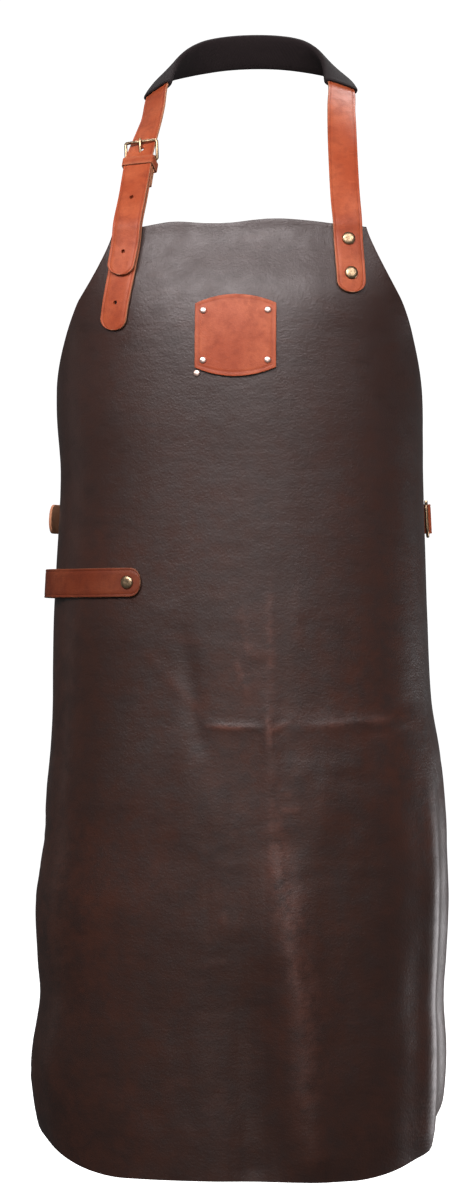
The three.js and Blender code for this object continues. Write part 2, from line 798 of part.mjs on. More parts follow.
// The patch lies on the sheet: straight sides, bowed top and bottom.
function patchSolid() {
  const columns = 10;
  const rows = 8;
  const faces = [];
  const place = (i, j) => {
    const u = 2 * j / columns - 1;
    const v = 1 - 2 * i / rows;
    const bow = patchBow * (1 - u * u);
    return [u * patchWidth / 2, patchCentre + v * (patchHeight / 2 + bow)];
  };
  const points = [];
  for (const lift of [sheetGap + patchWall, sheetGap]) {
    for (let i = 0; i <= rows; i += 1) {
      for (let j = 0; j <= columns; j += 1) {
        const [s, z] = place(i, j);
        points.push(sheetPoint(s, z, lift));
      }
    }
  }
  const shift = points.length / 2;
  const at = (i, j) => i * (columns + 1) + j;
  for (let i = 0; i < rows; i += 1) {
    for (let j = 0; j < columns; j += 1) {
      const [a, b, c, d] = [at(i, j), at(i, j + 1), at(i + 1, j + 1), at(i + 1, j)];
      faces.push([a, c, b], [a, d, c]);
      faces.push([a + shift, b + shift, c + shift], [a + shift, c + shift, d + shift]);
    }
  }
  const rim = [];
  for (let j = 0; j < columns; j += 1) {
    rim.push(at(0, j));
  }
  for (let i = 0; i < rows; i += 1) {
    rim.push(at(i, columns));
  }
  for (let j = columns; j > 0; j -= 1) {
    rim.push(at(rows, j));
  }
  for (let i = rows; i > 0; i -= 1) {
    rim.push(at(i, 0));
  }
  rim.forEach((a, k) => {
    const b = rim[(k + 1) % rim.length];
    faces.push([a, b, b + shift], [a, b + shift, a + shift]);
  });
  return solidFrom(points, faces);
}

// Strap round the side that hangs a towel: both ends riveted, the middle stands off.
const towelLift = (share) => sheetGap + towelStandOff * Math.sin(Math.PI * share) ** 1.5;
const towelFront = -84.5;
const towelFrontAcross = acrossAt(towelFront, towelHeight);
const towelBackAcross = -282;
const towelRivetInset = 12.5;
const towelDrop = 2;              // its rear end is this much lower

function towelStations() {
  const stations = [];
  const steps = 14;
  for (let i = 0; i <= steps; i += 1) {
    const share = i / steps;
    const s = lerp(towelFrontAcross, towelBackAcross, share);
    const bulge = clamp((share - 0.36) / 0.52, 0, 1);
    const lift = towelLift(bulge) + strapWall / 2;
    const z = towelHeight - towelDrop * share;
    stations.push({ at: sheetPoint(s, z, lift), across: upTheSheet(s, z) });
  }
  return stations;
}

// Waist strap: its left end stands off in front of its rivet, and it runs round the back to a ring.
const waistLeftTip = -228;
const waistLeftRivet = -276;
const waistRightRivet = 272;
const ringFront = 229;

function waistStations() {
  const stations = [];
  const lifted = [[waistLeftTip, 1], [-240, 0.8], [-252, 0.35], [-264, 0.05], [waistLeftRivet, 0], [-290, 0]];
  for (const [s, share] of lifted) {
    const lift = sheetGap + strapWall / 2 + waistStandOff * share;
    stations.push({ at: sheetPoint(s, waistHeight, lift), across: upTheSheet(s, waistHeight) });
  }
  const leftEdge = sheetPoint(-sheetHalfWidth, waistHeight, sheetGap + strapWall / 2);
  const rightEdge = sheetPoint(sheetHalfWidth, waistHeight, sheetGap + strapWall / 2);
  const turns = [0.2, 0.4, 0.6, 0.8, 1, 1.2, 1.4, 1.6, 1.8];
  for (const turn of turns) {
    const side = turn < 1 ? leftEdge : rightEdge;
    const angle = (Math.PI / 2) * turn;
    const x = -Math.cos(angle) * Math.abs(side.x);
    const y = lerp(side.y, waistBackDepth, Math.sin(angle) ** 0.8);
    stations.push({ at: vec(x, y, waistHeight), across: vec(0, 0, 1) });
  }
  const rightLift = sheetGap + 1.5 * strapWall + layerGap;
  for (const s of [290, waistRightRivet, 262]) {
    stations.push({ at: sheetPoint(s, waistHeight, rightLift), across: upTheSheet(s, waistHeight) });
  }
  return stations;
}

const ringRear = ringFront + ringLength;

// The strap's right end goes round the ring's rear bar and back under itself to the rivet.
function waistRouteWithTurn() {
  const main = smoothRoute(waistStations(), 9);
  const radius = ringRodRadius + metalGap + strapWall / 2;
  const bar = sheetPoint(ringRear, waistHeight, sheetGap + strapWall + metalGap + ringRodRadius);
  const normal = bareNormal(ringRear, waistHeight);
  const forward = vec(0, 0, 1).cross(normal).normalize().negate();
  const turn = [];
  const steps = 8;
  for (let i = 0; i <= steps; i += 1) {
    const angle = Math.PI * i / steps;
    const at = bar.clone()
      .addScaledVector(normal, radius * Math.cos(angle))
      .addScaledVector(forward, radius * Math.sin(angle));
    const tangent = forward.clone().multiplyScalar(Math.cos(angle))
      .addScaledVector(normal, -Math.sin(angle));
    turn.push({ at, across: upTheSheet(ringRear, waistHeight), tangent });
  }
  const back = [];
  for (const s of [253, 261, waistRightRivet, 284]) {
    const at = sheetPoint(s, waistHeight, sheetGap + strapWall / 2);
    back.push({ at, across: upTheSheet(s, waistHeight), tangent: forward.clone().negate() });
  }
  const whole = [...main, ...turn, ...back];
  whole.forEach((station, i) => {
    const before = whole[Math.max(0, i - 1)].at;
    const after = whole[Math.min(whole.length - 1, i + 1)].at;
    if (i >= main.length) {
      station.tangent = after.clone().sub(before).normalize();
    }
    station.along = i === 0 ? 0 : whole[i - 1].along + station.at.distanceTo(before);
  });
  return whole;
}

// Assembly

const model = new THREE.Group();
model.position.y = -(napeDepth - padThickness / 2);

const seatOn = (s, z, lift) => ({ seat: sheetPoint(s, z, lift), axis: bareNormal(s, z) });

let sheet = sheetSolid();
let neckStrap = strapSolid(denseEnd(denseEnd(neckRoute, false), true), strapWidth, strapWall, [true, true]);
let anchorStrap = strapSolid(anchorRouteWithTurn(), strapWidth, strapWall, [false, true]);
let patch = patchSolid();
let towelStrap = strapSolid(denseEnd(smoothRoute(towelStations(), strapSpacing), false), towelWidth,
  strapWall, [true, false]);
let waistStrap = strapSolid(denseEnd(waistRouteWithTurn(), false), waistWidth, strapWall, [true, false]);

const rivets = [];
const throughSheet = 14;

function fasten(name, s, z, stack, headRadius, headHeight, material, cut) {
  const { seat, axis } = seatOn(s, z, stack);
  const solid = rivetSolid(seat, axis, stack + sheetWall + washerGap, headRadius, headHeight);
  rivets.push(meshOf(name, solid, material));
  const hole = pinHole(seat, axis, throughSheet, rivetShankRadius + metalGap);
  sheet = sheet.subtract(hole);
  return cut ? cut.subtract(hole) : cut;
}

const onOneStrap = sheetGap + strapWall;
const stationAtHeight = (route, z) => route.reduce((best, s) =>
  (Math.abs(s.at.z - z) < Math.abs(best.at.z - z) ? s : best));

// A rivet through a strap and the bib, seated on the strap's own face.
function fastenStrap(name, route, z, headHeight, cut) {
  const station = stationAtHeight(route, z);
  const axis = faceOf(station);
  const seat = station.at.clone().addScaledVector(axis, strapWall / 2);
  const grip = onOneStrap + sheetWall + washerGap;
  rivets.push(meshOf(name, rivetSolid(seat, axis, grip, rivetHeadRadius, headHeight), oldBrass));
  const hole = pinHole(seat, axis, throughSheet, rivetShankRadius + metalGap);
  sheet = sheet.subtract(hole);
  return cut.subtract(hole);
}

const rightRoute = neckRoute.filter((station) => station.at.x > 0);
neckStrap = fastenStrap('neck_rivet_upper', rightRoute, -193, rivetHeadHeight, neckStrap);
neckStrap = fastenStrap('neck_rivet_lower', rightRoute, -223.5, rivetHeadHeight, neckStrap);

anchorStrap = fastenStrap('buckle_strap_rivet', anchorRoute, -214, flatHeadHeight, anchorStrap);

const patchRivetAcross = patchWidth / 2 - patchRivetInset;
const patchRivetDown = patchHeight / 2 - patchRivetInset * 0.85;
[[-1, 1], [1, 1], [-1, -1], [1, -1]].forEach(([a, b], i) => {
  patch = fasten(`patch_rivet_${i + 1}`, a * patchRivetAcross, patchCentre + b * patchRivetDown,
    sheetGap + patchWall, smallHeadRadius, smallHeadHeight, copper, patch);
});
fasten('patch_stud', -patchWidth / 2 + 1.6, patchCentre - patchHeight / 2 - smallHeadRadius - 1.8,
  0, smallHeadRadius, smallHeadHeight, copper, null);

const towelRivets = [
  ['towel_rivet_front', towelFrontAcross - towelRivetInset],
  ['towel_rivet_rear', towelBackAcross + towelRivetInset],
];
for (const [name, s] of towelRivets) {
  const share = (s - towelFrontAcross) / (towelBackAcross - towelFrontAcross);
  towelStrap = fasten(name, s, towelHeight - towelDrop * share, onOneStrap,
    rivetHeadRadius, rivetHeadHeight, oldBrass, towelStrap);
}

waistStrap = fasten('waist_rivet_left', waistLeftRivet, waistHeight, onOneStrap,
  rivetHeadRadius, rivetHeadHeight, oldBrass, waistStrap);
waistStrap = fasten('waist_rivet_right', waistRightRivet, waistHeight, sheetGap + 2 * strapWall + layerGap,
  rivetHeadRadius, rivetHeadHeight, oldBrass, waistStrap);

// The turned-back end of the buckle strap is pinned to its front layer under the hanging strap.
const turnPinAt = 25;
const turnPin = anchorRoute.find((station) => station.along > turnPinAt);
const turnPinAxis = faceOf(turnPin);
const turnPinSeat = turnPin.at.clone().addScaledVector(turnPinAxis, strapWall / 2);
rivets.push(meshOf('buckle_strap_pin', rivetSolid(turnPinSeat, turnPinAxis, nextLayer + strapWall + metalGap,
  rivetHeadRadius * 0.75, flatHeadHeight), oldBrass));
anchorStrap = anchorStrap.subtract(
  pinHole(turnPinSeat, turnPinAxis, strapWall * 4, rivetShankRadius + metalGap));

// Punched holes, and room for the prong where it goes through both straps.
const prongRoom = 0.45;
const punch = (station, radius) => pinHole(station.at, faceOf(station), nextLayer * 0.45, radius);
for (const z of [-154.6, -205]) {
  neckStrap = neckStrap.subtract(punch(stationAtHeight(hangingRoute, z), holeRadius));
}
anchorStrap = anchorStrap.subtract(punch(stationAtHeight(anchorRoute, -250), holeRadius));
const prongWay = buckleProng(prongRadius + prongRoom, prongRoom);
neckStrap = neckStrap.subtract(prongWay);
anchorStrap = anchorStrap.subtract(prongWay);

const keeperAt = 6.8;
const keeperHeight = 9;
const keeperStation = anchorRoute.find((station) => station.along >= keeperAt);
const keeper = keeperSolid(keeperStation, strapWidth + 1.4, -2 * turnRadius - strapWall / 2 - 0.5,
  nextLayer + strapWall / 2 + 0.7, keeperHeight);

const ringStart = sheetPoint(ringRear, waistHeight, sheetGap + strapWall + metalGap + ringRodRadius);
const ringEnd = sheetPoint(ringFront, waistHeight, ringRodRadius + sheetGap);
const ringAlong = ringEnd.clone().sub(ringStart);
const ring = wireLoop(ringStart, upTheSheet(ringRear, waistHeight), ringAlong.clone().normalize(), ringHeight,
  ringAlong.length(), ringRodRadius, buckleBend, ringBend);

model.add(
  meshOf('apron_sheet', sheet, darkLeather),
  meshOf('neck_pad', padSolid(), blackCloth),
  meshOf('neck_strap', neckStrap, tanLeather),
  meshOf('buckle_strap', anchorStrap, tanLeather),
  meshOf('strap_keeper', keeper, tanLeather),
  meshOf('buckle_frame', buckleFrame(), oldBrass),
  meshOf('buckle_prong', buckleProng(prongRadius, 0), oldBrass),
  meshOf('patch', patch, tanLeather),
  meshOf('towel_strap', towelStrap, tanLeather),
  meshOf('waist_strap', waistStrap, tanLeather),
  meshOf('waist_ring', ring, oldBrass),
  ...rivets,
);

export default model;
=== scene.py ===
import math

import bpy
import numpy as np
from mathutils import Matrix, Vector, noise


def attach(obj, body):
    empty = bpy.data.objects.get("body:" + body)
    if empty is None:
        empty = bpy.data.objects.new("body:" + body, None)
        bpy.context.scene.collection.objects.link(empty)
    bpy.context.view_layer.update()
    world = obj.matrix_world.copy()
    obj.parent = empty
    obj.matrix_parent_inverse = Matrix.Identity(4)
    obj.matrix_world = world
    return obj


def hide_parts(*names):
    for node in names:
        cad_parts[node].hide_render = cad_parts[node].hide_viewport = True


# A leather work apron, hanging as worn. Shapes are worked out in millimetres round the body's
# axis (front towards -Y, z = 0 at the nape) and moved into the frame, in metres, at the end.

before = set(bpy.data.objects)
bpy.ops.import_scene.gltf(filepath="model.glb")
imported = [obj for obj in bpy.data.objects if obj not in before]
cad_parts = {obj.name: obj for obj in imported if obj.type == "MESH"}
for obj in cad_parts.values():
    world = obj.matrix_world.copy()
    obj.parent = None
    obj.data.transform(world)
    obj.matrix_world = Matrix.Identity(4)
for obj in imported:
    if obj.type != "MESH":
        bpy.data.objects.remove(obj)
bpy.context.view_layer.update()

napeDepth = 88
padThickness = 8
frameShift = np.array([0.0, -(napeDepth - padThickness / 2), 0.0])
metre = 0.001


def place(points):
    return (np.asarray(points, float) + frameShift) * metre


# Camera and light

photo = dict(yaw=5.2, distance=3000, across=9.3, height=-515.3, focal=3273, frameHeight=1200,
             sensor=36, sight=30)


def buildCamera():
    yaw = math.radians(photo["yaw"])
    eye = (photo["distance"] * math.sin(yaw) - photo["across"] * math.cos(yaw),
           -photo["distance"] * math.cos(yaw) - photo["across"] * math.sin(yaw),
           photo["height"])
    data = bpy.data.cameras.new("camera")
    data.sensor_fit = "VERTICAL"
    data.sensor_height = photo["sensor"]
    data.lens = photo["focal"] / photo["frameHeight"] * data.sensor_height
    data.clip_end = photo["sight"]
    camera = bpy.data.objects.new("camera", data)
    camera.location = place(eye)
    camera.rotation_euler = (math.pi / 2, 0, yaw)
    bpy.context.scene.collection.objects.link(camera)
    bpy.context.scene.camera = camera


def activate(piece):
    bpy.ops.object.select_all(action="DESELECT")
    piece.select_set(True)
    bpy.context.view_layer.objects.active = piece


def spinProfile(name, profile, steps, merge):
    # profile points, in metres, are turned once round the upright axis
    mesh = bpy.data.meshes.new(name)
    mesh.from_pydata([(r, 0, z) for r, z in profile], [(i, i + 1) for i in range(len(profile) - 1)], [])
    piece = bpy.data.objects.new(name, mesh)
    bpy.context.scene.collection.objects.link(piece)
    activate(piece)
    bpy.ops.object.mode_set(mode="EDIT")
    bpy.ops.mesh.select_all(action="SELECT")
    bpy.ops.mesh.spin(steps=steps, angle=2 * math.pi, center=(0, 0, 0), axis=(0, 0, 1))
    bpy.ops.mesh.select_all(action="SELECT")
    bpy.ops.mesh.remove_doubles(threshold=merge)
    bpy.ops.mesh.normals_make_consistent(inside=False)
    bpy.ops.object.mode_set(mode="OBJECT")
    return piece


# name, place, what it points at, width, height, power in watts, colour
lights = [
    ("topFront", (-0.38, -2.15, 0.86), (-0.02, -0.17, -0.28), 2.6, 0.8, 82, (1.0, 0.95, 0.965)),
    ("rightTop", (1.45, -1.75, 0.80), (0.1, -0.15, -0.28), 0.9, 0.5, 9, (1.0, 0.95, 0.965)),
    ("front", (0.0, -3.4, -0.45), (0, -0.1, -0.60), 0.7, 1.4, 4, (1.0, 0.95, 0.92)),
    ("rightRim", (1.50, 0.70, -1.10), (0.1, -0.08, -0.98), 1.2, 0.6, 14, (1.0, 0.97, 0.99)),
    ("leftRim", (-1.9, 0.2, -0.45), (-0.1, -0.08, -0.6), 0.4, 1.0, 0.5, (1.0, 0.98, 0.96)),
    ("back", (0.2, 1.9, 2.2), (0, 0.0, -0.5), 1.8, 1.2, 110, (1.0, 1.0, 1.0)),
]
studio = dict(floor=-1.30, radius=11.0, bend=1.5, top=8.0, steps=64, bendSteps=12, worldStrength=0.095,
              paper=(0.8, 0.8, 0.8, 1), paperRoughness=0.95, paperGlow=0.97)


def buildStudio():
    for name, at, target, width, height, power, colour in lights:
        data = bpy.data.lights.new(name, "AREA")
        data.shape = "RECTANGLE"
        data.size = width
        data.size_y = height
        data.energy = power
        data.color = colour
        lamp = bpy.data.objects.new(name, data)
        lamp.location = at
        lamp.rotation_euler = (Vector(target) - Vector(at)).to_track_quat("-Z", "Y").to_euler()
        bpy.context.scene.collection.objects.link(lamp)
    # a round white room: the floor bends up into the wall, and the wall over into the top
    radius, bend, floor, top = (studio[key] for key in ("radius", "bend", "floor", "top"))
    profile = [(0, floor)]
    for step in range(studio["bendSteps"] + 1):
        angle = math.pi / 2 * step / studio["bendSteps"]
        profile.append((radius - bend + bend * math.sin(angle), floor + bend * (1 - math.cos(angle))))
    for step in range(studio["bendSteps"] + 1):
        angle = math.pi / 2 * step / studio["bendSteps"]
        profile.append((radius * math.cos(angle), top - bend + bend * math.sin(angle)))
    backdrop = spinProfile("backdrop", profile, studio["steps"], 1e-4)
    backdrop.data.shade_smooth()
    paper = bpy.data.materials.new("backdropPaper")
    paper.use_nodes = True
    shader = paper.node_tree.nodes["Principled BSDF"]
    shader.inputs["Base Color"].default_value = studio["paper"]
    shader.inputs["Roughness"].default_value = studio["paperRoughness"]
    shader.inputs["Specular IOR Level"].default_value = 0
    shader.inputs["Emission Color"].default_value = (1, 1, 1, 1)
    shader.inputs["Emission Strength"].default_value = studio["paperGlow"]
    backdrop.data.materials.append(paper)
    backdrop.visible_glossy = False
    backdrop.visible_diffuse = False
    backdrop.visible_shadow = False
    world = bpy.data.worlds.new("world")
    bpy.context.scene.world = world
    world.use_nodes = True
    world.node_tree.nodes["Background"].inputs["Color"].default_value = (1, 1, 1, 1)
    world.node_tree.nodes["Background"].inputs["Strength"].default_value = studio["worldStrength"]
    bpy.context.scene.view_settings.view_transform = "Standard"


buildCamera()
buildStudio()
print("camera and studio: done")

# Materials


class NodeBench:
    # short calls for one material's node tree

    def __init__(self, name):
        self.material = bpy.data.materials.new(name)
        self.material.use_nodes = True
        self.tree = self.material.node_tree
        self.shader = self.tree.nodes["Principled BSDF"]
        self.place = self.add("ShaderNodeTexCoord").outputs["Object"]

    def add(self, kind, **settings):
        made = self.tree.nodes.new(kind)
        for key, value in settings.items():
            setattr(made, key, value)
        return made

    def feed(self, socket, value):
        if isinstance(value, bpy.types.NodeSocket):
            self.tree.links.new(value, socket)
        else:
            socket.default_value = value

    def stretch(self, scale):
        mapping = self.add("ShaderNodeMapping")
        self.feed(mapping.inputs["Vector"], self.place)
        mapping.inputs["Scale"].default_value = scale
        return mapping.outputs["Vector"]

    def cloud(self, scale, detail=4, roughness=0.55, vector=None):
        texture = self.add("ShaderNodeTexNoise")
        self.feed(texture.inputs["Vector"], vector or self.place)
        texture.inputs["Scale"].default_value = scale
        texture.inputs["Detail"].default_value = detail
        texture.inputs["Roughness"].default_value = roughness
        return texture.outputs["Fac"]

    def cells(self, scale, feature="F1", vector=None):
        texture = self.add("ShaderNodeTexVoronoi", feature=feature)
        self.feed(texture.inputs["Vector"], vector or self.place)
        texture.inputs["Scale"].default_value = scale
        return texture.outputs["Distance"]

    def attribute(self, name):
        return self.add("ShaderNodeAttribute", attribute_name=name).outputs["Fac"]

    def span(self, value, low, high, toLow=0.0, toHigh=1.0):
        made = self.add("ShaderNodeMapRange")
        self.feed(made.inputs["Value"], value)
        made.inputs["From Min"].default_value = low
        made.inputs["From Max"].default_value = high
        made.inputs["To Min"].default_value = toLow
        made.inputs["To Max"].default_value = toHigh
        return made.outputs["Result"]

    def sums(self, a, b, operation="ADD"):
        made = self.add("ShaderNodeMath", operation=operation)
        self.feed(made.inputs[0], a)
        self.feed(made.inputs[1], b)
        return made.outputs[0]

    def mix(self, factor, a, b):
        made = self.add("ShaderNodeMix", data_type="RGBA")  # its colours are inputs 6 and 7
        self.feed(made.inputs["Factor"], factor)
        for socket, value in ((made.inputs[6], a), (made.inputs[7], b)):
            self.feed(socket, (*value, 1) if isinstance(value, tuple) else value)
        return made.outputs[2]

    def bump(self, height, distance, strength=1.0, after=None):
        made = self.add("ShaderNodeBump")
        made.inputs["Strength"].default_value = strength
        made.inputs["Distance"].default_value = distance
        self.feed(made.inputs["Height"], height)
        if after:
            self.feed(made.inputs["Normal"], after)
        return made.outputs["Normal"]

    def gloss(self, specular, coat, coatRoughness):
        self.shader.inputs["Specular IOR Level"].default_value = specular
        self.shader.inputs["Coat Weight"].default_value = coat
        self.shader.inputs["Coat Roughness"].default_value = coatRoughness

    def zed(self):
        split = self.add("ShaderNodeSeparateXYZ")
        self.feed(split.inputs[0], self.place)
        return split.outputs["Z"]


# In darkLook, top is a greyer tone laid over the upper bib: partly the leather's own tone, partly a painted
# sheen where the bib leans back towards the lamp above.
darkLook = dict(
    base=(0.0330, 0.0130, 0.0086), red=(0.050, 0.0165, 0.0098), dark=(0.0185, 0.0076, 0.0054),
    top=(0.0360, 0.0190, 0.0160), worn=(0.125, 0.048, 0.034), cut=(0.12, 0.062, 0.040),
    suede=(0.150, 0.086, 0.058), roughness=(0.34, 0.48), specular=0.46, coat=0.06, coatRoughness=0.3)
# how fine each pattern is, in repeats a metre
darkScale = dict(broad=7, mottle=58, grain=820, streaks=30, wear=60, suede=300, pebbles=560, pores=950,
                 nap=900)


def darkLeather():
    look, scale = darkLook, darkScale
    bench = NodeBench("darkLeather")
    broad = bench.cloud(scale["broad"], 3)
    mottle = bench.cloud(scale["mottle"], 6, 0.66)
    grain = bench.cloud(scale["grain"], 3, 0.6)
    colour = bench.mix(bench.span(broad, 0.40, 0.62), look["base"], look["red"])
    colour = bench.mix(bench.span(mottle, 0.38, 0.64, 0.0, 0.75), colour, look["dark"])
    # the upper part turns greyer by height: partly tone, partly painted sheen
    colour = bench.mix(bench.span(bench.zed(), -0.62, -0.22, 0.0, 0.8), colour, look["top"])
    streaks = bench.cloud(scale["streaks"], 5, 0.65, bench.stretch((1.0, 1.0, 2.6)))
    colour = bench.mix(bench.span(streaks, 0.56, 0.76, 0.0, 0.45), colour, look["red"])
    colour = bench.mix(bench.span(streaks, 0.46, 0.28, 0.0, 0.55), colour, look["dark"])
    rubbed = bench.span(bench.cloud(scale["wear"], 6, 0.72), 0.38, 0.64)
    wear = bench.sums(bench.attribute("wear"), rubbed, "MULTIPLY")
    wear = bench.sums(wear, 0.85, "MINIMUM")
    colour = bench.mix(wear, colour, look["worn"])
    colour = bench.mix(bench.span(grain, 0.35, 0.7, 0.0, 0.16), colour, look["dark"])
    suede = bench.mix(bench.span(bench.cloud(scale["suede"], 4, 0.7), 0.3, 0.7), look["suede"],
                      tuple(0.62 * part for part in look["suede"]))
    flesh = bench.attribute("flesh")
    colour = bench.mix(flesh, colour, suede)
    rim = bench.attribute("rim")
    colour = bench.mix(bench.sums(rim, 0.85, "MULTIPLY"), colour, look["cut"])
    bench.feed(bench.shader.inputs["Base Color"], colour)
    smooth = bench.span(mottle, 0.3, 0.7, *look["roughness"])
    rough = bench.sums(smooth, bench.sums(flesh, 0.4, "MULTIPLY"), "ADD")
    rough = bench.sums(rough, bench.sums(rim, 0.3, "MULTIPLY"), "ADD")
    bench.feed(bench.shader.inputs["Roughness"], bench.sums(rough, 0.98, "MINIMUM"))
    pebbles = bench.cells(scale["pebbles"], "SMOOTH_F1")
    pores = bench.span(bench.cells(scale["pores"], "F1"), 0.0, 0.28)
    low = bench.bump(mottle, 0.0016, 0.22, bench.bump(streaks, 0.0009, 0.32))
    mid = bench.bump(pebbles, 0.00022, 0.5, low)
    high = bench.bump(pores, 0.00012, 0.4, mid)
    nap = bench.sums(bench.cloud(scale["nap"], 4, 0.7), flesh, "MULTIPLY")
    bench.feed(bench.shader.inputs["Normal"], bench.bump(nap, 0.0006, 0.8, high))
    bench.gloss(look["specular"], look["coat"], look["coatRoughness"])
    return bench.material


tanLook = dict(
    base=(0.355, 0.064, 0.021), bright=(0.470, 0.112, 0.044), dark=(0.205, 0.033, 0.013),
    cut=(0.50, 0.24, 0.135), back=(0.36, 0.17, 0.09), crease=(0.22, 0.038, 0.016))
tanGloss = dict(roughness=(0.46, 0.60), specular=0.25, coat=0.05, coatRoughness=0.3)
tanScale = dict(broad=22, mottle=95, hair=420, scratch=170, rim=260, pores=880)
# A darker copy of the tan at 0.42 of its colours: painted shade for the towel strap, which turns away from
# the lamps on the left side.
shadedTan = {key: tuple(0.42 * part for part in colour) for key, colour in tanLook.items()}


def tanLeather(name, look):
    bench = NodeBench(name)
    broad = bench.cloud(tanScale["broad"], 3)
    mottle = bench.cloud(tanScale["mottle"], 5, 0.65)
    colour = bench.mix(bench.span(broad, 0.38, 0.64), look["base"], look["bright"])
    colour = bench.mix(bench.span(mottle, 0.46, 0.72, 0.0, 0.6), colour, look["dark"])
    hair = bench.cloud(tanScale["hair"], 3, 0.6)
    colour = bench.mix(bench.span(hair, 0.35, 0.7, 0.0, 0.2), colour, look["dark"])
    scratch = bench.cloud(tanScale["scratch"], 2, 0.5, bench.stretch((0.4, 1.0, 2.4)))
    colour = bench.mix(bench.span(scratch, 0.66, 0.76, 0.0, 0.35), colour, look["bright"])
    crease = bench.attribute("crease")
    colour = bench.mix(bench.sums(crease, 0.5, "MULTIPLY"), colour, look["crease"])
    flesh = bench.attribute("flesh")
    colour = bench.mix(flesh, colour, look["back"])
    rim = bench.attribute("rim")
    patchy = bench.span(bench.cloud(tanScale["rim"], 4, 0.6), 0.3, 0.6, 0.55, 1.0)
    colour = bench.mix(bench.sums(rim, patchy, "MULTIPLY"), colour, look["cut"])
    bench.feed(bench.shader.inputs["Base Color"], colour)
    smooth = bench.span(mottle, 0.3, 0.7, *tanGloss["roughness"])
    rough = bench.sums(smooth, bench.sums(rim, 0.3, "MULTIPLY"), "ADD")
    rough = bench.sums(rough, bench.sums(flesh, 0.35, "MULTIPLY"), "ADD")
    bench.feed(bench.shader.inputs["Roughness"], bench.sums(rough, 0.98, "MINIMUM"))
    pores = bench.cells(tanScale["pores"], "SMOOTH_F1")
    fine = bench.bump(pores, 0.00022, 0.5)
    bench.feed(bench.shader.inputs["Normal"], bench.bump(mottle, 0.0006, 0.35, fine))
    bench.gloss(tanGloss["specular"], tanGloss["coat"], tanGloss["coatRoughness"])
    return bench.material


clothLook = dict(base=(0.0095, 0.0054, 0.0058), light=(0.021, 0.0145, 0.0150), ribs=330, fluff=700,
                 wear=45, roughness=(0.82, 0.95), specular=0.25)


def blackCloth():
    bench = NodeBench("blackCloth")
    ribs = bench.add("ShaderNodeTexWave", wave_type="BANDS", bands_direction="DIAGONAL")
    bench.feed(ribs.inputs["Vector"], bench.place)
    ribs.inputs["Scale"].default_value = clothLook["ribs"]
    ribs.inputs["Distortion"].default_value = 1.5
    ribs.inputs["Detail"].default_value = 2
    fluff = bench.cloud(clothLook["fluff"], 4, 0.7)
    wear = bench.cloud(clothLook["wear"], 4, 0.6)
    colour = bench.mix(bench.span(fluff, 0.35, 0.75), clothLook["base"], clothLook["light"])
    colour = bench.mix(bench.span(wear, 0.45, 0.7, 0.0, 0.4), colour, clothLook["base"])
    colour = bench.mix(bench.sums(bench.attribute("rim"), 0.5, "MULTIPLY"), colour, clothLook["light"])
    bench.feed(bench.shader.inputs["Base Color"], colour)
    bench.feed(bench.shader.inputs["Roughness"], bench.span(fluff, 0.3, 0.7, *clothLook["roughness"]))
    low = bench.bump(ribs.outputs["Fac"], 0.0003, 0.4)
    bench.feed(bench.shader.inputs["Normal"], bench.bump(fluff, 0.0005, 0.6, low))
    bench.shader.inputs["Specular IOR Level"].default_value = clothLook["specular"]
    return bench.material


metalScale = dict(patina=230, fine=1500, dullOver=0.22)


def agedMetal(name, bright, dull, roughness, dullFrom):
    bench = NodeBench(name)
    patina = bench.cloud(metalScale["patina"], 5, 0.65)
    fine = bench.cloud(metalScale["fine"], 3, 0.6)
    tarnish = bench.span(patina, dullFrom, dullFrom + metalScale["dullOver"])
    bench.feed(bench.shader.inputs["Base Color"], bench.mix(tarnish, bright, dull))
    bench.feed(bench.shader.inputs["Roughness"], bench.span(patina, 0.3, 0.7, *roughness))
    low = bench.bump(patina, 0.0004, 0.25)
    bench.feed(bench.shader.inputs["Normal"], bench.bump(fine, 0.00008, 0.4, low))
    bench.shader.inputs["Metallic"].default_value = 1.0
    return bench.material


# the second, darker tan is painted shade for the towel strap
materials = dict(
    dark=darkLeather(), tan=tanLeather("tanLeather", tanLook), shadedTan=tanLeather("shadedTanLeather", shadedTan),
    cloth=blackCloth(),
    brass=agedMetal("oldBrass", (0.46, 0.33, 0.20), (0.12, 0.080, 0.050), (0.26, 0.44), 0.45),
    copper=agedMetal("copper", (0.93, 0.68, 0.59), (0.56, 0.32, 0.24), (0.30, 0.46), 0.56))
print("materials: done")

# The body inside the leather. Down is a share of the way from bib top to hem, left and right are
# shares of the hip half width, front of the belly depth, back of the belly depth behind the side,
# and square is how boxy the section is.

apron = dict(
    halfWidth=300, wall=1.8, hipHalfWidth=168, bellyDepth=108, bibTop=-176, bibHalfWidth=116,
    sideCorner=-425, hem=-1029, cornerWidth=195, cornerHeight=130, armhole=1.23, cornerPower=1.65,
    topDrop=8.5, topCrown=28, topFade=70, columns=150, bibRows=62, sideRows=112, cornerRows=36,
    creaseRows=(-608.5, -636, -2.1), evenShare=0.55, closeShare=0.45, closePower=2.2)

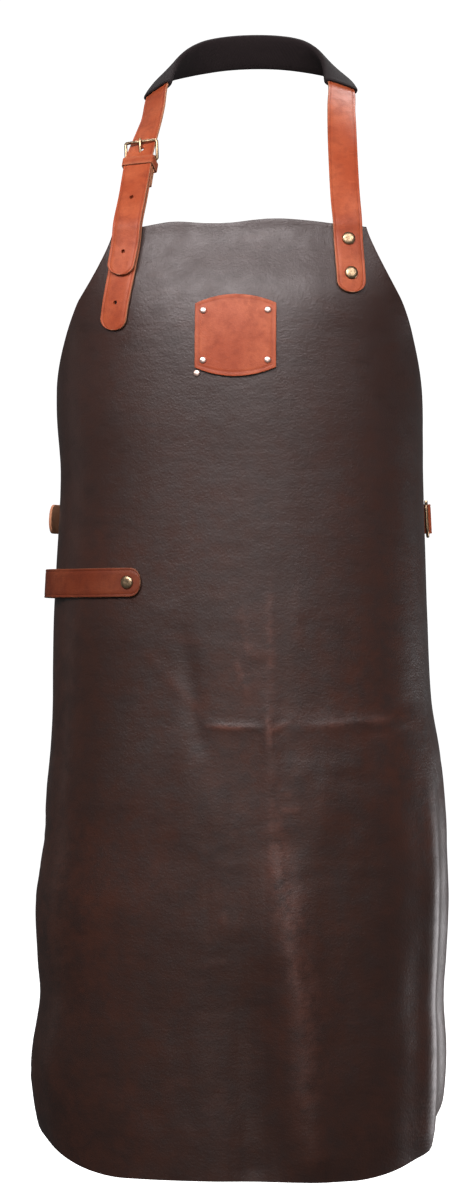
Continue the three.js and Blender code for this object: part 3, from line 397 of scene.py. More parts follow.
sectionNames = ("down", "left", "right", "front", "back", "square")
sections = [dict(zip(sectionNames, row)) for row in [
    (0.000, 1.120, 1.090, 0.78, 0.90, 2.10),
    (0.075, 1.075, 1.030, 0.91, 0.90, 2.10),
    (0.128, 1.038, 0.962, 0.96, 0.90, 2.10),
    (0.200, 1.034, 0.966, 0.98, 0.92, 2.15),
    (0.263, 1.012, 0.967, 0.98, 0.95, 2.20),
    (0.366, 1.036, 0.982, 0.99, 1.10, 2.25),
    (0.420, 1.048, 0.991, 1.00, 1.25, 2.30),
    (0.505, 1.054, 1.012, 1.01, 1.45, 2.35),
    (0.556, 1.065, 1.054, 1.02, 1.60, 2.40),
    (0.607, 1.087, 1.083, 1.03, 1.70, 2.45),
    (0.658, 1.096, 1.095, 1.03, 1.80, 2.50),
    (0.720, 1.129, 1.106, 1.04, 1.85, 2.50),
    (0.778, 1.119, 1.092, 1.04, 1.85, 2.50),
    (0.820, 1.104, 1.076, 1.04, 1.85, 2.50),
    (0.890, 1.153, 1.089, 1.04, 1.85, 2.50),
    (0.950, 1.120, 1.062, 1.04, 1.85, 2.50),
    (1.000, 1.070, 1.020, 1.04, 1.85, 2.50),
]]

# Folds: across is a share of the sheet's half width, a positive height stands out.
foldNames = ("acrossTop", "downTop", "acrossBottom", "downBottom", "height", "reach")
folds = [dict(zip(foldNames, row)) for row in [
    (0.12, 0.655, 0.26, 1.020, 7.0, 24),
    (0.02, 0.740, 0.07, 1.020, -4.0, 22),
    (-0.10, 0.527, 0.09, 0.532, 0.5, 6),
    (0.09, 0.490, 0.115, 0.590, 0.6, 7),
    (0.13, 0.530, 0.60, 0.524, 0.7, 9),
    (0.64, 0.540, 0.62, 1.020, 5.0, 13),
    (0.74, 0.560, 0.75, 1.020, -5.0, 17),
    (-0.73, 0.640, -0.72, 0.980, 3.0, 14),
    (-0.16, 0.420, -0.10, 0.560, -1.5, 9),
]]

# Fine creases that only the finished leather has, with how worn each one is.
creaseNames = foldNames + ("wear",)
creases = [dict(zip(creaseNames, row)) for row in [
    (-0.092, 0.5285, 0.088, 0.5300, 0.42, 2.2, 1.30),
    (0.097, 0.518, 0.101, 0.556, 0.50, 2.2, 1.30),
    (0.105, 0.365, 0.104, 0.5500, 0.25, 3.4, 0.45),
    (0.100, 0.534, 0.170, 0.5220, 0.30, 2.6, 0.70),
    (0.200, 0.530, 0.560, 0.5180, 0.30, 3.4, 0.50),
    (0.380, 0.538, 0.560, 0.5330, -0.35, 4.0, 0.20),
    (-0.285, 0.445, -0.070, 0.5270, 0.30, 4.5, 0.30),
    (0.000, 0.458, 0.040, 0.4980, 0.30, 2.8, 0.65),
    (0.020, 0.400, 0.060, 0.4980, 0.30, 5.0, 0.30),
    (0.180, 0.370, 0.185, 0.4500, 0.20, 5.0, 0.25),
    (0.125, 0.600, 0.190, 0.5960, 0.30, 2.4, 0.45),
    (0.125, 0.616, 0.200, 0.6130, 0.30, 2.4, 0.50),
    (0.120, 0.630, 0.180, 0.6340, 0.30, 2.4, 0.40),
    (0.105, 0.560, 0.135, 0.7000, 0.30, 10.0, 0.40),
    (0.100, 0.630, 0.160, 0.7400, 0.80, 7.0, 0.20),
    (0.110, 0.630, 0.170, 0.7500, 0.00, 14.0, 0.40),
    (0.150, 0.700, 0.200, 0.8300, 0.90, 8.0, 0.20),
    (0.160, 0.690, 0.205, 0.8300, 0.00, 13.0, 0.36),
    (0.205, 0.780, 0.225, 0.9000, 0.80, 8.0, 0.15),
    (0.205, 0.780, 0.230, 0.9200, 0.00, 14.0, 0.24),
    (0.040, 0.350, 0.060, 0.5300, 0.00, 22.0, 0.15),
    (-0.260, 0.540, -0.200, 0.7600, 0.00, 26.0, 0.12),
    (-0.120, 0.780, -0.020, 0.7700, 0.25, 3.0, 0.25),
    (-0.220, 0.905, -0.130, 0.8980, 0.25, 3.0, 0.35),
    (-0.040, 0.720, -0.030, 0.7350, 0.30, 3.0, 0.50),
    (-0.300, 0.430, 0.180, 0.4600, 0.20, 3.5, 0.20),
    (0.180, 0.860, 0.230, 0.9900, 0.50, 12.0, 0.20),
]]


def sectionValue(name, down):
    i = 0
    while i < len(sections) - 2 and sections[i + 1]["down"] < down:
        i += 1
    before, a, b, after = (sections[min(max(k, 0), len(sections) - 1)] for k in (i - 1, i, i + 1, i + 2))
    step = b["down"] - a["down"]
    t = min(max((down - a["down"]) / step, 0), 1)
    slopeA = 0 if a is before else (b[name] - before[name]) / (b["down"] - before["down"])
    slopeB = 0 if b is after else (after[name] - a[name]) / (after["down"] - a["down"])
    return ((2 * t ** 3 - 3 * t ** 2 + 1) * a[name] + (t ** 3 - 2 * t ** 2 + t) * step * slopeA
            + (3 * t ** 2 - 2 * t ** 3) * b[name] + (t ** 3 - t ** 2) * step * slopeB)


def downOf(z):
    return (apron["bibTop"] - z) / (apron["bibTop"] - apron["hem"])


tableStep = dict(down=2.0, across=0.5, margin=8.0, reach=330.0, turn=2.85, turnSteps=601)


def buildTables():
    levels = np.arange(apron["bibTop"] + tableStep["margin"], apron["hem"] - tableStep["margin"],
                       -tableStep["down"])
    lengths = np.arange(0, tableStep["reach"], tableStep["across"])
    angle = np.linspace(0, tableStep["turn"], tableStep["turnSteps"])
    cosine = np.cos(angle)
    tables = {side: np.zeros((len(levels), len(lengths), 2)) for side in (-1, 1)}
    for row, z in enumerate(levels):
        down = downOf(z)
        power = 2 / sectionValue("square", down)
        front = apron["bellyDepth"] * sectionValue("front", down)
        back = apron["bellyDepth"] * sectionValue("back", down)
        for side, name in ((-1, "left"), (1, "right")):
            half = apron["hipHalfWidth"] * sectionValue(name, down)
            x = side * half * np.abs(np.sin(angle)) ** power
            y = np.abs(cosine) ** power * np.where(cosine > 0, -front, back)
            run = np.concatenate([[0], np.cumsum(np.hypot(np.diff(x), np.diff(y)))])
            tables[side][row, :, 0] = np.interp(lengths, run, x)
            tables[side][row, :, 1] = np.interp(lengths, run, y)
    return levels, tables


levels, tables = buildTables()


def bare(s, z):
    # the body's surface at running length s across the leather and height z
    s, z = np.broadcast_arrays(np.asarray(s, float), np.asarray(z, float))
    row = np.clip((levels[0] - z) / tableStep["down"], 0, len(levels) - 1.001)
    col = np.abs(s) / tableStep["across"]
    i = row.astype(int)
    j = col.astype(int)
    fi = (row - i)[..., None]
    fj = (col - j)[..., None]
    out = np.zeros(s.shape + (3,))
    for side in (-1, 1):
        table = tables[side]
        xy = ((table[i, j] * (1 - fj) + table[i, j + 1] * fj) * (1 - fi)
              + (table[i + 1, j] * (1 - fj) + table[i + 1, j + 1] * fj) * fi)
        pick = (s < 0) if side < 0 else (s >= 0)
        out[pick, :2] = xy[pick]
    out[..., 2] = z
    return out


def unit(vectors):
    vectors = np.asarray(vectors, float)
    return vectors / np.linalg.norm(vectors, axis=-1, keepdims=True)


probe = 2


def normalOf(s, z):
    across = bare(s + probe, z) - bare(s - probe, z)
    up = bare(s, z + probe) - bare(s, z - probe)
    return unit(np.cross(across, up))


def upTheSheet(s, z):
    return unit(bare(s, z + probe) - bare(s, z - probe))


lineFade = dict(start=0.3, stop=0.15, left=0.2, softPower=0.7)


def lineHeight(s, z, lines, value="height", soft=False):
    # folds start and stop plainly, fine creases swell softly from both ends
    across = np.asarray(s, float) / apron["halfWidth"]
    down = downOf(np.asarray(z, float))
    tall = apron["bibTop"] - apron["hem"]
    total = np.zeros(np.broadcast(across, down).shape)
    for line in lines:
        dx = (line["acrossBottom"] - line["acrossTop"]) * apron["halfWidth"]
        dz = (line["downBottom"] - line["downTop"]) * tall
        px = (across - line["acrossTop"]) * apron["halfWidth"]
        pz = (down - line["downTop"]) * tall
        length = math.hypot(dx, dz)
        along = (px * dx + pz * dz) / length
        aside = (px * dz - pz * dx) / length
        if soft:
            fade = np.sin(math.pi * np.clip(along / length, 0, 1)) ** lineFade["softPower"]
        else:
            left = (length - along) / (lineFade["stop"] * length) + lineFade["left"]
            fade = np.clip(along / (lineFade["start"] * length), 0, 1) * np.clip(left, 0, 1)
        total = total + line[value] * fade * np.exp(-((aside / line["reach"]) ** 2))
    return total


def surface(s, z, lift=0.0):
    rise = np.asarray(lift + lineHeight(s, z, folds))[..., None]
    return bare(s, z) + normalOf(s, z) * rise


def acrossAt(x, z):
    low, high = (-apron["halfWidth"], 0.0) if x < 0 else (0.0, apron["halfWidth"] * 0.75)
    for halving in range(40):
        middle = (low + high) / 2
        if bare(middle, z)[0] > x:
            high = middle
        else:
            low = middle
    return (low + high) / 2


# Mesh making


def signedVolume(points, faces):
    total = 0.0
    for face in faces:
        for k in range(1, len(face) - 1):
            total += np.dot(points[face[0]], np.cross(points[face[k]], points[face[k + 1]]))
    return total


def describe(piece, kind, replaced):
    # what it is made of and the nodes that it stands for
    piece.data.materials.append(materials[kind])
    piece["kind"] = kind
    piece["stands"] = list(replaced)
    return piece


def newPiece(name, points, faces, kind, replaced, marks=None):
    # points are in millimetres; marks are per point values that the material reads
    points = np.asarray(points, float)
    if signedVolume(points, faces) < 0:
        faces = [tuple(reversed(face)) for face in faces]
    mesh = bpy.data.meshes.new(name)
    mesh.from_pydata(place(points).tolist(), [], faces)
    for mark, values in (marks or {}).items():
        layer = mesh.attributes.new(mark, "FLOAT", "POINT")
        layer.data.foreach_set("value", np.asarray(values, np.float32))
    piece = bpy.data.objects.new(name, mesh)
    bpy.context.scene.collection.objects.link(piece)
    return describe(piece, kind, replaced)


def applyModifier(piece, kind, **settings):
    activate(piece)
    modifier = piece.modifiers.new(kind.lower(), kind)
    for key, value in settings.items():
        setattr(modifier, key, value)
    bpy.ops.object.modifier_apply(modifier=modifier.name)


smoothUnder = dict(strap=40, rivet=35, wire=60, pad=55, sheet=50)  # degrees between faces


def finish(piece, angle=smoothUnder["strap"]):
    cutHoles(piece)
    activate(piece)
    bpy.ops.object.shade_smooth_by_angle(angle=math.radians(angle))
    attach(piece, "root")
    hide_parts(*piece["stands"])
    return piece


def gridFaces(rows, columns, start=0):
    faces = []
    for i in range(rows - 1):
        for j in range(columns - 1):
            a = start + i * columns + j
            faces.append((a, a + 1, a + 1 + columns, a + columns))
    return faces


def rimLoop(rows, columns):
    loop = list(range(columns))
    loop += [i * columns + columns - 1 for i in range(1, rows)]
    loop += [(rows - 1) * columns + j for j in range(columns - 2, -1, -1)]
    loop += [i * columns for i in range(rows - 2, 0, -1)]
    return loop


def leatherShell(name, outer, inner, kind, replaced, extra=None):
    # outer and inner are grids (rows, columns, 3); the rim joins them
    rows, columns = outer.shape[:2]
    count = rows * columns
    loop = rimLoop(rows, columns)
    points = np.concatenate([outer.reshape(-1, 3), inner.reshape(-1, 3)])
    faces = gridFaces(rows, columns)
    faces += [tuple(reversed(face)) for face in gridFaces(rows, columns, count)]
    size = len(loop)
    for k in range(size):
        a, b = loop[k], loop[(k + 1) % size]
        faces.append((b, a, a + count, b + count))
    marks = {"flesh": np.repeat([0.0, 1.0], count)}
    for mark, grid in (extra or {}).items():
        marks[mark] = np.concatenate([grid.reshape(-1), np.zeros(count)])
    return newPiece(name, points, faces, kind, replaced, marks)


# The apron's one sheet of leather


def halfWidthAt(z):
    corner = apron["hem"] + apron["cornerHeight"]
    if z > apron["sideCorner"]:
        t = min(max((apron["bibTop"] - z) / (apron["bibTop"] - apron["sideCorner"]), 0), 1)
        return apron["bibHalfWidth"] + (apron["halfWidth"] - apron["bibHalfWidth"]) * t ** apron["armhole"]
    if z < corner:
        t = min(max((corner - z) / apron["cornerHeight"], 0), 1)
        power = apron["cornerPower"]
        return apron["halfWidth"] - apron["cornerWidth"] * (1 - (1 - t ** power) ** (1 / power))
    return apron["halfWidth"]


def sheetRows():
    corner = apron["hem"] + apron["cornerHeight"]
    rows = list(np.linspace(apron["bibTop"], apron["sideCorner"], apron["bibRows"], endpoint=False))
    rows += list(np.linspace(apron["sideCorner"], corner, apron["sideRows"], endpoint=False))
    rows += [corner - apron["cornerHeight"] * math.sin(math.pi / 2 * i / apron["cornerRows"])
             for i in range(apron["cornerRows"] + 1)]
    rows += list(np.arange(*apron["creaseRows"]))  # closer along the crease across the hips
    return np.array(sorted(rows, reverse=True))


# the waves of the bib's top edge: place across, rise
topWaves = [
    (-116, 2.5), (-100, 3.2), (-73, 3.7), (-62, 3.9), (-53, 3.0), (-45, 1.7), (-37, 0.2), (-30, -0.9),
    (-16, -2.1), (-6, -2.2), (3, -1.6), (12, -0.7), (26, 0.4), (40, 0.6), (54, 0.1), (68, -0.6),
    (82, -1.4), (116, -1.2)]


def noiseGrid(s, z, across, down, seed, octaves=3):
    flat = [noise.fractal(Vector((a / across, b / down, seed)), 0.9, 2.1, octaves)
            for a, b in zip(s.reshape(-1), z.reshape(-1))]
    return np.array(flat).reshape(s.shape)


# each wave's length across, length down and seed, and from which share down the leather is loose
waves = dict(broad=(85, 150, 3.1), ripples=(32, 14, 7.7, 2), rippled=(90, 70, 1.9), drawn=(16, 190, 5.3),
             looseFrom=0.42, looseOver=0.2, drawnAt=20, drawnWide=90)


def relief(s, z):
    # small waves of the leather, kept low where straps and the patch lie on it
    loose = np.clip((downOf(z) - waves["looseFrom"]) / waves["looseOver"], 0, 1)
    broad = noiseGrid(s, z, *waves["broad"]) * (0.25 + 1.5 * loose)
    ripples = noiseGrid(s, z, *waves["ripples"]) * noiseGrid(s, z, *waves["rippled"]).clip(0, 1)
    ripples = ripples * (0.3 + 0.5 * loose)
    middle = np.exp(-((s - waves["drawnAt"]) / waves["drawnWide"]) ** 2)
    return broad + ripples + noiseGrid(s, z, *waves["drawn"]) * middle * (0.12 + 0.35 * loose)


def buildSheet():
    rows = sheetRows()
    even = np.linspace(-1, 1, apron["columns"] + 1)
    close = apron["closeShare"] * np.sign(even) * np.abs(even) ** apron["closePower"]
    share = apron["evenShare"] * even + close  # columns stand closer in the middle
    half = np.array([halfWidthAt(z) for z in rows])
    s = half[:, None] * share[None, :]
    z = np.repeat(rows[:, None], len(share), axis=1)
    fade = np.clip(1 - (apron["bibTop"] - z) / apron["topFade"], 0, 1)
    z = z - apron["topDrop"] * fade * ((s - apron["topCrown"]) / apron["bibHalfWidth"]) ** 2
    z = z + fade ** 2 * np.interp(s, *zip(*topWaves))
    lift = lineHeight(s, z, folds) + lineHeight(s, z, creases, soft=True) + relief(s, z)
    normal = normalOf(s, z)
    outer = bare(s, z) + normal * lift[..., None]
    inner = outer - normal * apron["wall"]
    wear = np.clip(lineHeight(s, z, creases, "wear", soft=True), 0, 1)
    piece = leatherShell("apronSheet", outer, inner, "dark", ["apron_sheet"], {"wear": wear})
    spacing = -np.gradient(rows)
    area = float(np.sum(2 * half * spacing)) * metre ** 2
    return piece, area


# Straps: a route holds middle points, across directions, tangents and the length run


def catmull(points, u):
    n = len(points)
    k = min(int((n - 1) * u), n - 2)
    w = (n - 1) * u - k
    p1, p2 = points[k], points[k + 1]
    p0 = points[k - 1] if k > 0 else 2 * points[0] - points[1]
    p3 = points[k + 2] if k + 2 < n else 2 * points[-1] - points[-2]
    d0, d1, d2 = (max(math.sqrt(np.linalg.norm(b - a)), 1e-4) for a, b in ((p0, p1), (p1, p2), (p2, p3)))
    t1 = ((p1 - p0) / d0 - (p2 - p0) / (d0 + d1) + (p2 - p1) / d1) * d1
    t2 = ((p2 - p1) / d1 - (p3 - p1) / (d1 + d2) + (p3 - p2) / d2) * d1
    return p1 + t1 * w + (-3 * p1 + 3 * p2 - 2 * t1 - t2) * w ** 2 + (2 * p1 - 2 * p2 + t1 + t2) * w ** 3


def routeFrom(points, across):
    points = np.asarray(points, float)
    run = np.concatenate([[0], np.cumsum(np.linalg.norm(np.diff(points, axis=0), axis=1))])
    tangent = unit(np.gradient(points, run, axis=0))
    across = np.asarray(across, float)
    across = unit(across - tangent * np.sum(across * tangent, axis=1, keepdims=True))
    return dict(at=points, across=across, tangent=tangent, along=run)


def smoothRoute(stations, spacing):
    points = [np.asarray(at, float) for at, across in stations]
    us = np.linspace(0, 1, 40 * len(points))
    fine = np.array([catmull(points, u) for u in us])
    run = np.concatenate([[0], np.cumsum(np.linalg.norm(np.diff(fine, axis=0), axis=1))])
    count = max(2, round(run[-1] / spacing))
    u = np.interp(np.linspace(0, run[-1], count + 1), run, us)
    across = np.array([a for at, a in stations])
    mark = u * (len(points) - 1)
    k = np.minimum(mark.astype(int), len(points) - 2)
    t = (mark - k)[:, None]
    return routeFrom([catmull(points, value) for value in u], across[k] * (1 - t) + across[k + 1] * t)


def faceOf(route):
    return unit(np.cross(route["tangent"], route["across"]))


def offsetRoute(route, distance):
    return dict(route, at=route["at"] + faceOf(route) * distance)


def cutRoute(route, keep):
    return {key: values[keep] for key, values in route.items()}


def atRun(route, along):
    out = {}
    for key in ("at", "across", "tangent"):
        out[key] = np.stack([np.interp(along, route["along"], route[key][:, k]) for k in range(3)], axis=1)
    out["across"] = unit(out["across"])
    out["tangent"] = unit(out["tangent"])
    out["along"] = np.asarray(along)
    return out


strap = dict(width=26.5, wall=2.4, layerGap=1.6, sheetGap=0.8, tip=10.5, tipPower=2.15, tipSteps=10,
             step=2.6, spacing=3.5, round=0.55, creaseAt=2.3, creaseWide=0.7, creaseDeep=0.28)
onBib = strap["sheetGap"] + strap["wall"] / 2
nextLayer = strap["wall"] + strap["layerGap"]


def strapSection(width, wall):
    # one side of the section from the middle of the face round to the middle of the back
    w, t, r = width / 2, wall / 2, strap["round"]
    shrink = min(1.0, w / 7)
    r = min(r, w * 0.45)
    at, wide, deep = (strap[key] * shrink for key in ("creaseAt", "creaseWide", "creaseDeep"))
    return [
        (0, t, 0, 0, 0), (w * 0.55, t, 0, 0, 0), (w - at - wide, t, 0, 0, 0), (w - at, t - deep, 1, 0, 0),
        (w - at + wide, t, 0, 0, 0), (w - r, t, 0, 0, 0), (w - r * 0.3, t - r * 0.3, 0, 0.5, 0),
        (w, t - r, 0, 1, 0), (w, -t + r, 0, 1, 0), (w - r * 0.3, -t + r * 0.3, 0, 0.7, 0.5),
        (w - r, -t, 0, 0, 1), (0, -t, 0, 0, 1)]


def buildStrap(name, route, width, wall, tips, kind, replaced):
    total = route["along"][-1]
    tip = strap["tip"]
    ends = tip * (1 - np.cos(np.linspace(0, math.pi / 2, strap["tipSteps"])))[:-1]
    ends[0] = 0.02
    start = tip if tips[0] else 0
    stop = total - (tip if tips[1] else 0)
    middle = np.linspace(start, stop, max(3, round((stop - start) / strap["step"])))
    marks = np.concatenate([ends if tips[0] else [], middle, (total - ends)[::-1] if tips[1] else []])
    stations = atRun(route, marks)
    normal = faceOf(stations)
    points, crease, rim, flesh = [], [], [], []
    for i, mark in enumerate(marks):
        near = min(mark if tips[0] else tip, total - mark if tips[1] else tip, tip)
        share = (1 - (1 - near / tip) ** strap["tipPower"]) ** (1 / strap["tipPower"])
        half = strapSection(max(width * share, 0.4), wall)
        ring = half + [(-a, b, c, d, e) for a, b, c, d, e in half[-2:0:-1]]
        for a, b, c, d, e in ring:
            points.append(stations["at"][i] + stations["across"][i] * a + normal[i] * b)
            blunt = 1.0 if near < 0.6 else d
            crease.append(c)
            rim.append(blunt)
            flesh.append(e)
    count = len(ring)
    faces = []
    for i in range(len(marks) - 1):
        for j in range(count):
            k = (j + 1) % count
            a = i * count
            faces.append((a + j, a + k, a + k + count, a + j + count))
    last = (len(marks) - 1) * count
    faces.append(tuple(range(count)))
    faces.append(tuple(reversed(range(last, last + count))))
    return newPiece(name, points, faces, kind, replaced, dict(crease=crease, rim=rim, flesh=flesh))


def onSheet(x, z, lift):
    s = acrossAt(x, z)
    across = unit(bare(s - probe, z) - bare(s + probe, z))
    return surface(s, z, lift), across if x > 0 else -across


def placing(seat, axis):
    # what brings a shape made upright at the origin to its seat
    turn = Vector(axis).to_track_quat("Z", "Y").to_matrix().to_4x4()
    return Matrix.Translation(Vector(place(seat))) @ turn


holes = {}  # for each piece its holes: seat, axis, radius, reach to each side


def addHole(piece, seat, axis, radius, reach):
    holes.setdefault(piece.name, []).append((seat, axis, radius, reach))


def cutHoles(piece):
    # round punched holes, cut together by one set of cylinders
    bpy.ops.object.select_all(action="DESELECT")
    cutters = []
    for seat, axis, radius, reach in holes.get(piece.name, []):
        bpy.ops.mesh.primitive_cylinder_add(vertices=28, radius=radius * metre, depth=2 * reach * metre)
        bpy.context.object.matrix_world = placing(seat, axis)
        cutters.append(bpy.context.object)
    if not cutters:
        return
    bpy.ops.object.select_all(action="DESELECT")
    for cutter in cutters:
        cutter.select_set(True)
    bpy.context.view_layer.objects.active = cutters[0]
    if len(cutters) > 1:
        bpy.ops.object.join()
    cutter = bpy.context.object
    bpy.context.view_layer.update()
    applyModifier(piece, "BOOLEAN", object=cutter, operation="DIFFERENCE", solver="EXACT")
    bpy.data.objects.remove(cutter)


def stationAt(route, index):
    return dict(at=route["at"][index], across=route["across"][index], tangent=route["tangent"][index],
                face=faceOf(route)[index])


def stationAtHeight(route, z):
    return stationAt(route, int(np.argmin(np.abs(route["at"][:, 2] - z))))


def stationAlong(route, length):
    return stationAt(route, int(np.argmax(route["along"] >= length)))


# Rivets: a half profile spun round its axis

rivet = dict(shank=1.5, holeRoom=0.3, reach=9, washer=4.2, washerHeight=0.8, headGap=0.4,
             washerGap=1.3, steps=32, domeSteps=8, domePower=0.9, edge=0.35, edgeShare=0.3, bevel=0.2,
             dimpleWide=0.42)


rivetHole = rivet["shank"] + rivet["holeRoom"]


def spinRivet(name, seat, axis, grip, radius, height, kind, replaced, dimple=0.0):
    washer = min(rivet["washer"], radius)
    gap = rivet["headGap"]
    edge = min(rivet["edge"], height * rivet["edgeShare"])
    bevel = rivet["bevel"]
    profile = [(0, -grip - rivet["washerHeight"]), (washer - bevel, -grip - rivet["washerHeight"]),
               (washer, -grip - rivet["washerHeight"] + bevel), (washer, -grip),
               (rivet["shank"], -grip), (rivet["shank"], gap), (radius - 0.15, gap),
               (radius, gap + edge * 0.5), (radius - 0.1, gap + edge)]
    for step in range(1, rivet["domeSteps"]):
        share = step / rivet["domeSteps"]
        wide = (radius - 0.1) * math.cos(math.pi / 2 * share)
        dome = edge + (height - edge) * math.sin(math.pi / 2 * share) ** rivet["domePower"]
        hollow = dimple * math.exp(-(wide / (radius * rivet["dimpleWide"])) ** 2)
        profile.append((wide, gap + dome - hollow))
    profile.append((0, gap + height - dimple))
    piece = spinProfile(name, [(a * metre, b * metre) for a, b in profile], rivet["steps"], 1e-6)
    piece.data.transform(placing(seat, axis))
    return finish(describe(piece, kind, replaced), smoothUnder["rivet"])


# Bent wire


def wirePiece(name, points, radius, closed, replaced):
    curve = bpy.data.curves.new(name, "CURVE")
    curve.dimensions = "3D"
    curve.bevel_depth = radius * metre
    curve.bevel_resolution = 6
    curve.use_fill_caps = True
    spline = curve.splines.new("POLY")
    spline.points.add(len(points) - 1)
    for target, point in zip(spline.points, place(points)):
        target.co = (*point, 1)
    spline.use_cyclic_u = closed
    piece = bpy.data.objects.new(name, curve)
    bpy.context.scene.collection.objects.link(piece)
    activate(piece)
    bpy.ops.object.convert(target="MESH")
    return finish(describe(bpy.context.object, "brass", replaced), smoothUnder["wire"])


def roundedLoop(start, across, along, width, length, startBend, endBend, steps=10):
    points = []
    for k, (a, b) in enumerate([(1, 0), (1, 1), (-1, 1), (-1, 0)]):
        bend = endBend if b else startBend
        u = a * (width / 2 - bend)
        v = length - bend if b else bend
        first = (-math.pi / 2, 0, math.pi / 2, math.pi)[k]
        for i in range(steps + 1):
            angle = first + math.pi / 2 * i / steps
            sideways = u + bend * math.cos(angle)
            forwards = v + bend * math.sin(angle)
            points.append(start + across * sideways + along * forwards)
    return points


# Build

sheetPiece, sheetArea = buildSheet()
print("sheet of leather: modelled")

rivetSize = dict(head=6.0, headHeight=2.3, dimple=0.5, flat=0.9, small=3.1, smallHeight=1.5)
spareHole = dict(radius=1.9, reach=1.8)

rightStations = [
    onSheet(101.4, -242, onBib),
    onSheet(100.3, -222.6, onBib),
    onSheet(98.2, -198, onBib),
    onSheet(97.6, -188, onBib),
    onSheet(97.1, -178, onBib + 0.4),
    ((95, -65, -153), (-1, 0, 0)),
    ((91.2, -37, -108), (-1, 0, 0)),
    ((88, -2, -68), (-0.94, -0.25, 0.2)),
    ((85.5, 33, -40), (-0.89, -0.36, 0.28)),
    ((75, 60, -20), (-0.66, -0.45, 0.6)),
    ((45, 80, -4), (-0.3, -0.45, 0.84)),
]
napeStation = ((0, napeDepth, 1.5), (0, -0.5, 0.866))
buckleAt = (-92.6, -35.5, -114.5)
anchorStations = [
    (buckleAt, (0.9, -0.43, -0.24)),
    ((-93.6, -43.5, -126.5), (0.93, -0.36, -0.16)),
    ((-95.6, -61, -153), (0.96, -0.3, 0)),
    onSheet(-98.2, -181, onBib + 1),
    onSheet(-99.6, -196, onBib),
    onSheet(-103.6, -222, onBib),
    onSheet(-108.6, -250, onBib),
    onSheet(-111.8, -274, onBib),
]
leftStations = [
    ((-45, 80, -4), (0.3, -0.45, 0.84)),
    ((-75, 60, -20), (0.66, -0.45, 0.6)),
    ((-84.5, 33, -41), (0.76, -0.55, 0.34)),
    ((-85.7, -2, -71), (0.75, -0.65, 0.08)),
]
hangingLength = 126  # of the neck strap's end below the buckle

anchorRoute = smoothRoute(anchorStations, strap["spacing"])
hangingRoute = offsetRoute(anchorRoute, nextLayer)
hangingRoute = cutRoute(hangingRoute, anchorRoute["along"] < hangingLength)
neckStations = rightStations + [napeStation] + leftStations
hangingCount = len(hangingRoute["at"])
for i in range(hangingCount):
    if i % 3 == 1 or i == hangingCount - 1:
        neckStations.append((hangingRoute["at"][i], hangingRoute["across"][i]))
neckRoute = smoothRoute(neckStations, strap["spacing"])

neckStrap = buildStrap("neckStrap", neckRoute, strap["width"], strap["wall"], (True, True),
                       "tan", ["neck_strap"])
print("neck strap: modelled")

# the turned-back end of the buckle strap
buckle = dict(rod=1.45, prong=1.25, width=30.1, length=15, bend=1.8, gap=0.4, prongTurn=1.35,
              prongSteps=18, prongHole=2.6, prongHoleBelow=7, pinAt=25)
turnRadius = buckle["rod"] + buckle["gap"] + strap["wall"] / 2
buckleFace = faceOf(anchorRoute)[0]
buckleAcross = anchorRoute["across"][0]
buckleUp = -anchorRoute["tangent"][0]
hingeMiddle = anchorRoute["at"][0] - buckleFace * turnRadius


def buckleStrapRoute():
    backLength = 33
    normal = faceOf(anchorRoute)
    near = anchorRoute["along"] < backLength
    t = np.clip(anchorRoute["along"][near] / (backLength * 0.4), 0, 1)
    apart = 2 * turnRadius + (nextLayer - 2 * turnRadius) * (t * t * (3 - 2 * t))
    back = (anchorRoute["at"][near] - normal[near] * apart[:, None])[::-1]
    turn = [hingeMiddle + buckleFace * turnRadius * math.cos(a) + buckleUp * turnRadius * math.sin(a)
            for a in np.linspace(math.pi, 0, 14)[1:-1]]
    points = np.concatenate([back, turn, anchorRoute["at"]])
    across = np.concatenate([anchorRoute["across"][near][::-1], np.repeat([buckleAcross], 12, axis=0),
                             anchorRoute["across"]])
    return routeFrom(points, across)


buckleStrap = buildStrap("buckleStrap", buckleStrapRoute(), strap["width"], strap["wall"], (False, True),
                         "tan", ["buckle_strap"])

# the outer bar lies on the neck strap, one buckle's length above the hinge
fromBar = neckRoute["at"] - (anchorRoute["at"][0] + buckleUp * buckle["length"])
underBar = int(np.argmin(np.linalg.norm(fromBar, axis=1)))
barGap = 0.05 * strap["width"]
barLift = strap["wall"] / 2 + barGap + buckle["rod"]
outerBar = neckRoute["at"][underBar] + faceOf(neckRoute)[underBar] * barLift
frameAlong = outerBar - hingeMiddle
frameLength = float(np.linalg.norm(frameAlong))
frameAlong = frameAlong / frameLength

wirePiece("buckleFrame", roundedLoop(hingeMiddle, buckleAcross, frameAlong, buckle["width"], frameLength,
                                     buckle["bend"], buckle["bend"]), buckle["rod"], True, ["buckle_frame"])


def prongPoints():
    eye = buckle["rod"] + buckle["gap"] + buckle["prong"]
    out = unit(np.cross(buckleAcross, frameAlong))
    sweep = buckle["prongTurn"] * math.pi
    points = []
    for i in range(buckle["prongSteps"] + 1):
        angle = math.pi / 2 + sweep * (1 - i / buckle["prongSteps"])
        points.append(hingeMiddle + frameAlong * eye * math.cos(angle) + out * eye * math.sin(angle))
    points.append(hingeMiddle + frameAlong * frameLength * 0.45 + out * eye * 1.12)
    points.append(outerBar + out * eye)
    points.append(outerBar + frameAlong * buckle["rod"] * 1.5 + out * eye * 0.8)
    return points


wirePiece("buckleProng", prongPoints(), buckle["prong"], False, ["buckle_prong"])
print("buckle: modelled")

keeper = dict(at=6.8, height=9, wall=1.3, corner=1.2, room=1.0, under=0.5, over=0.7, soft=0.45)


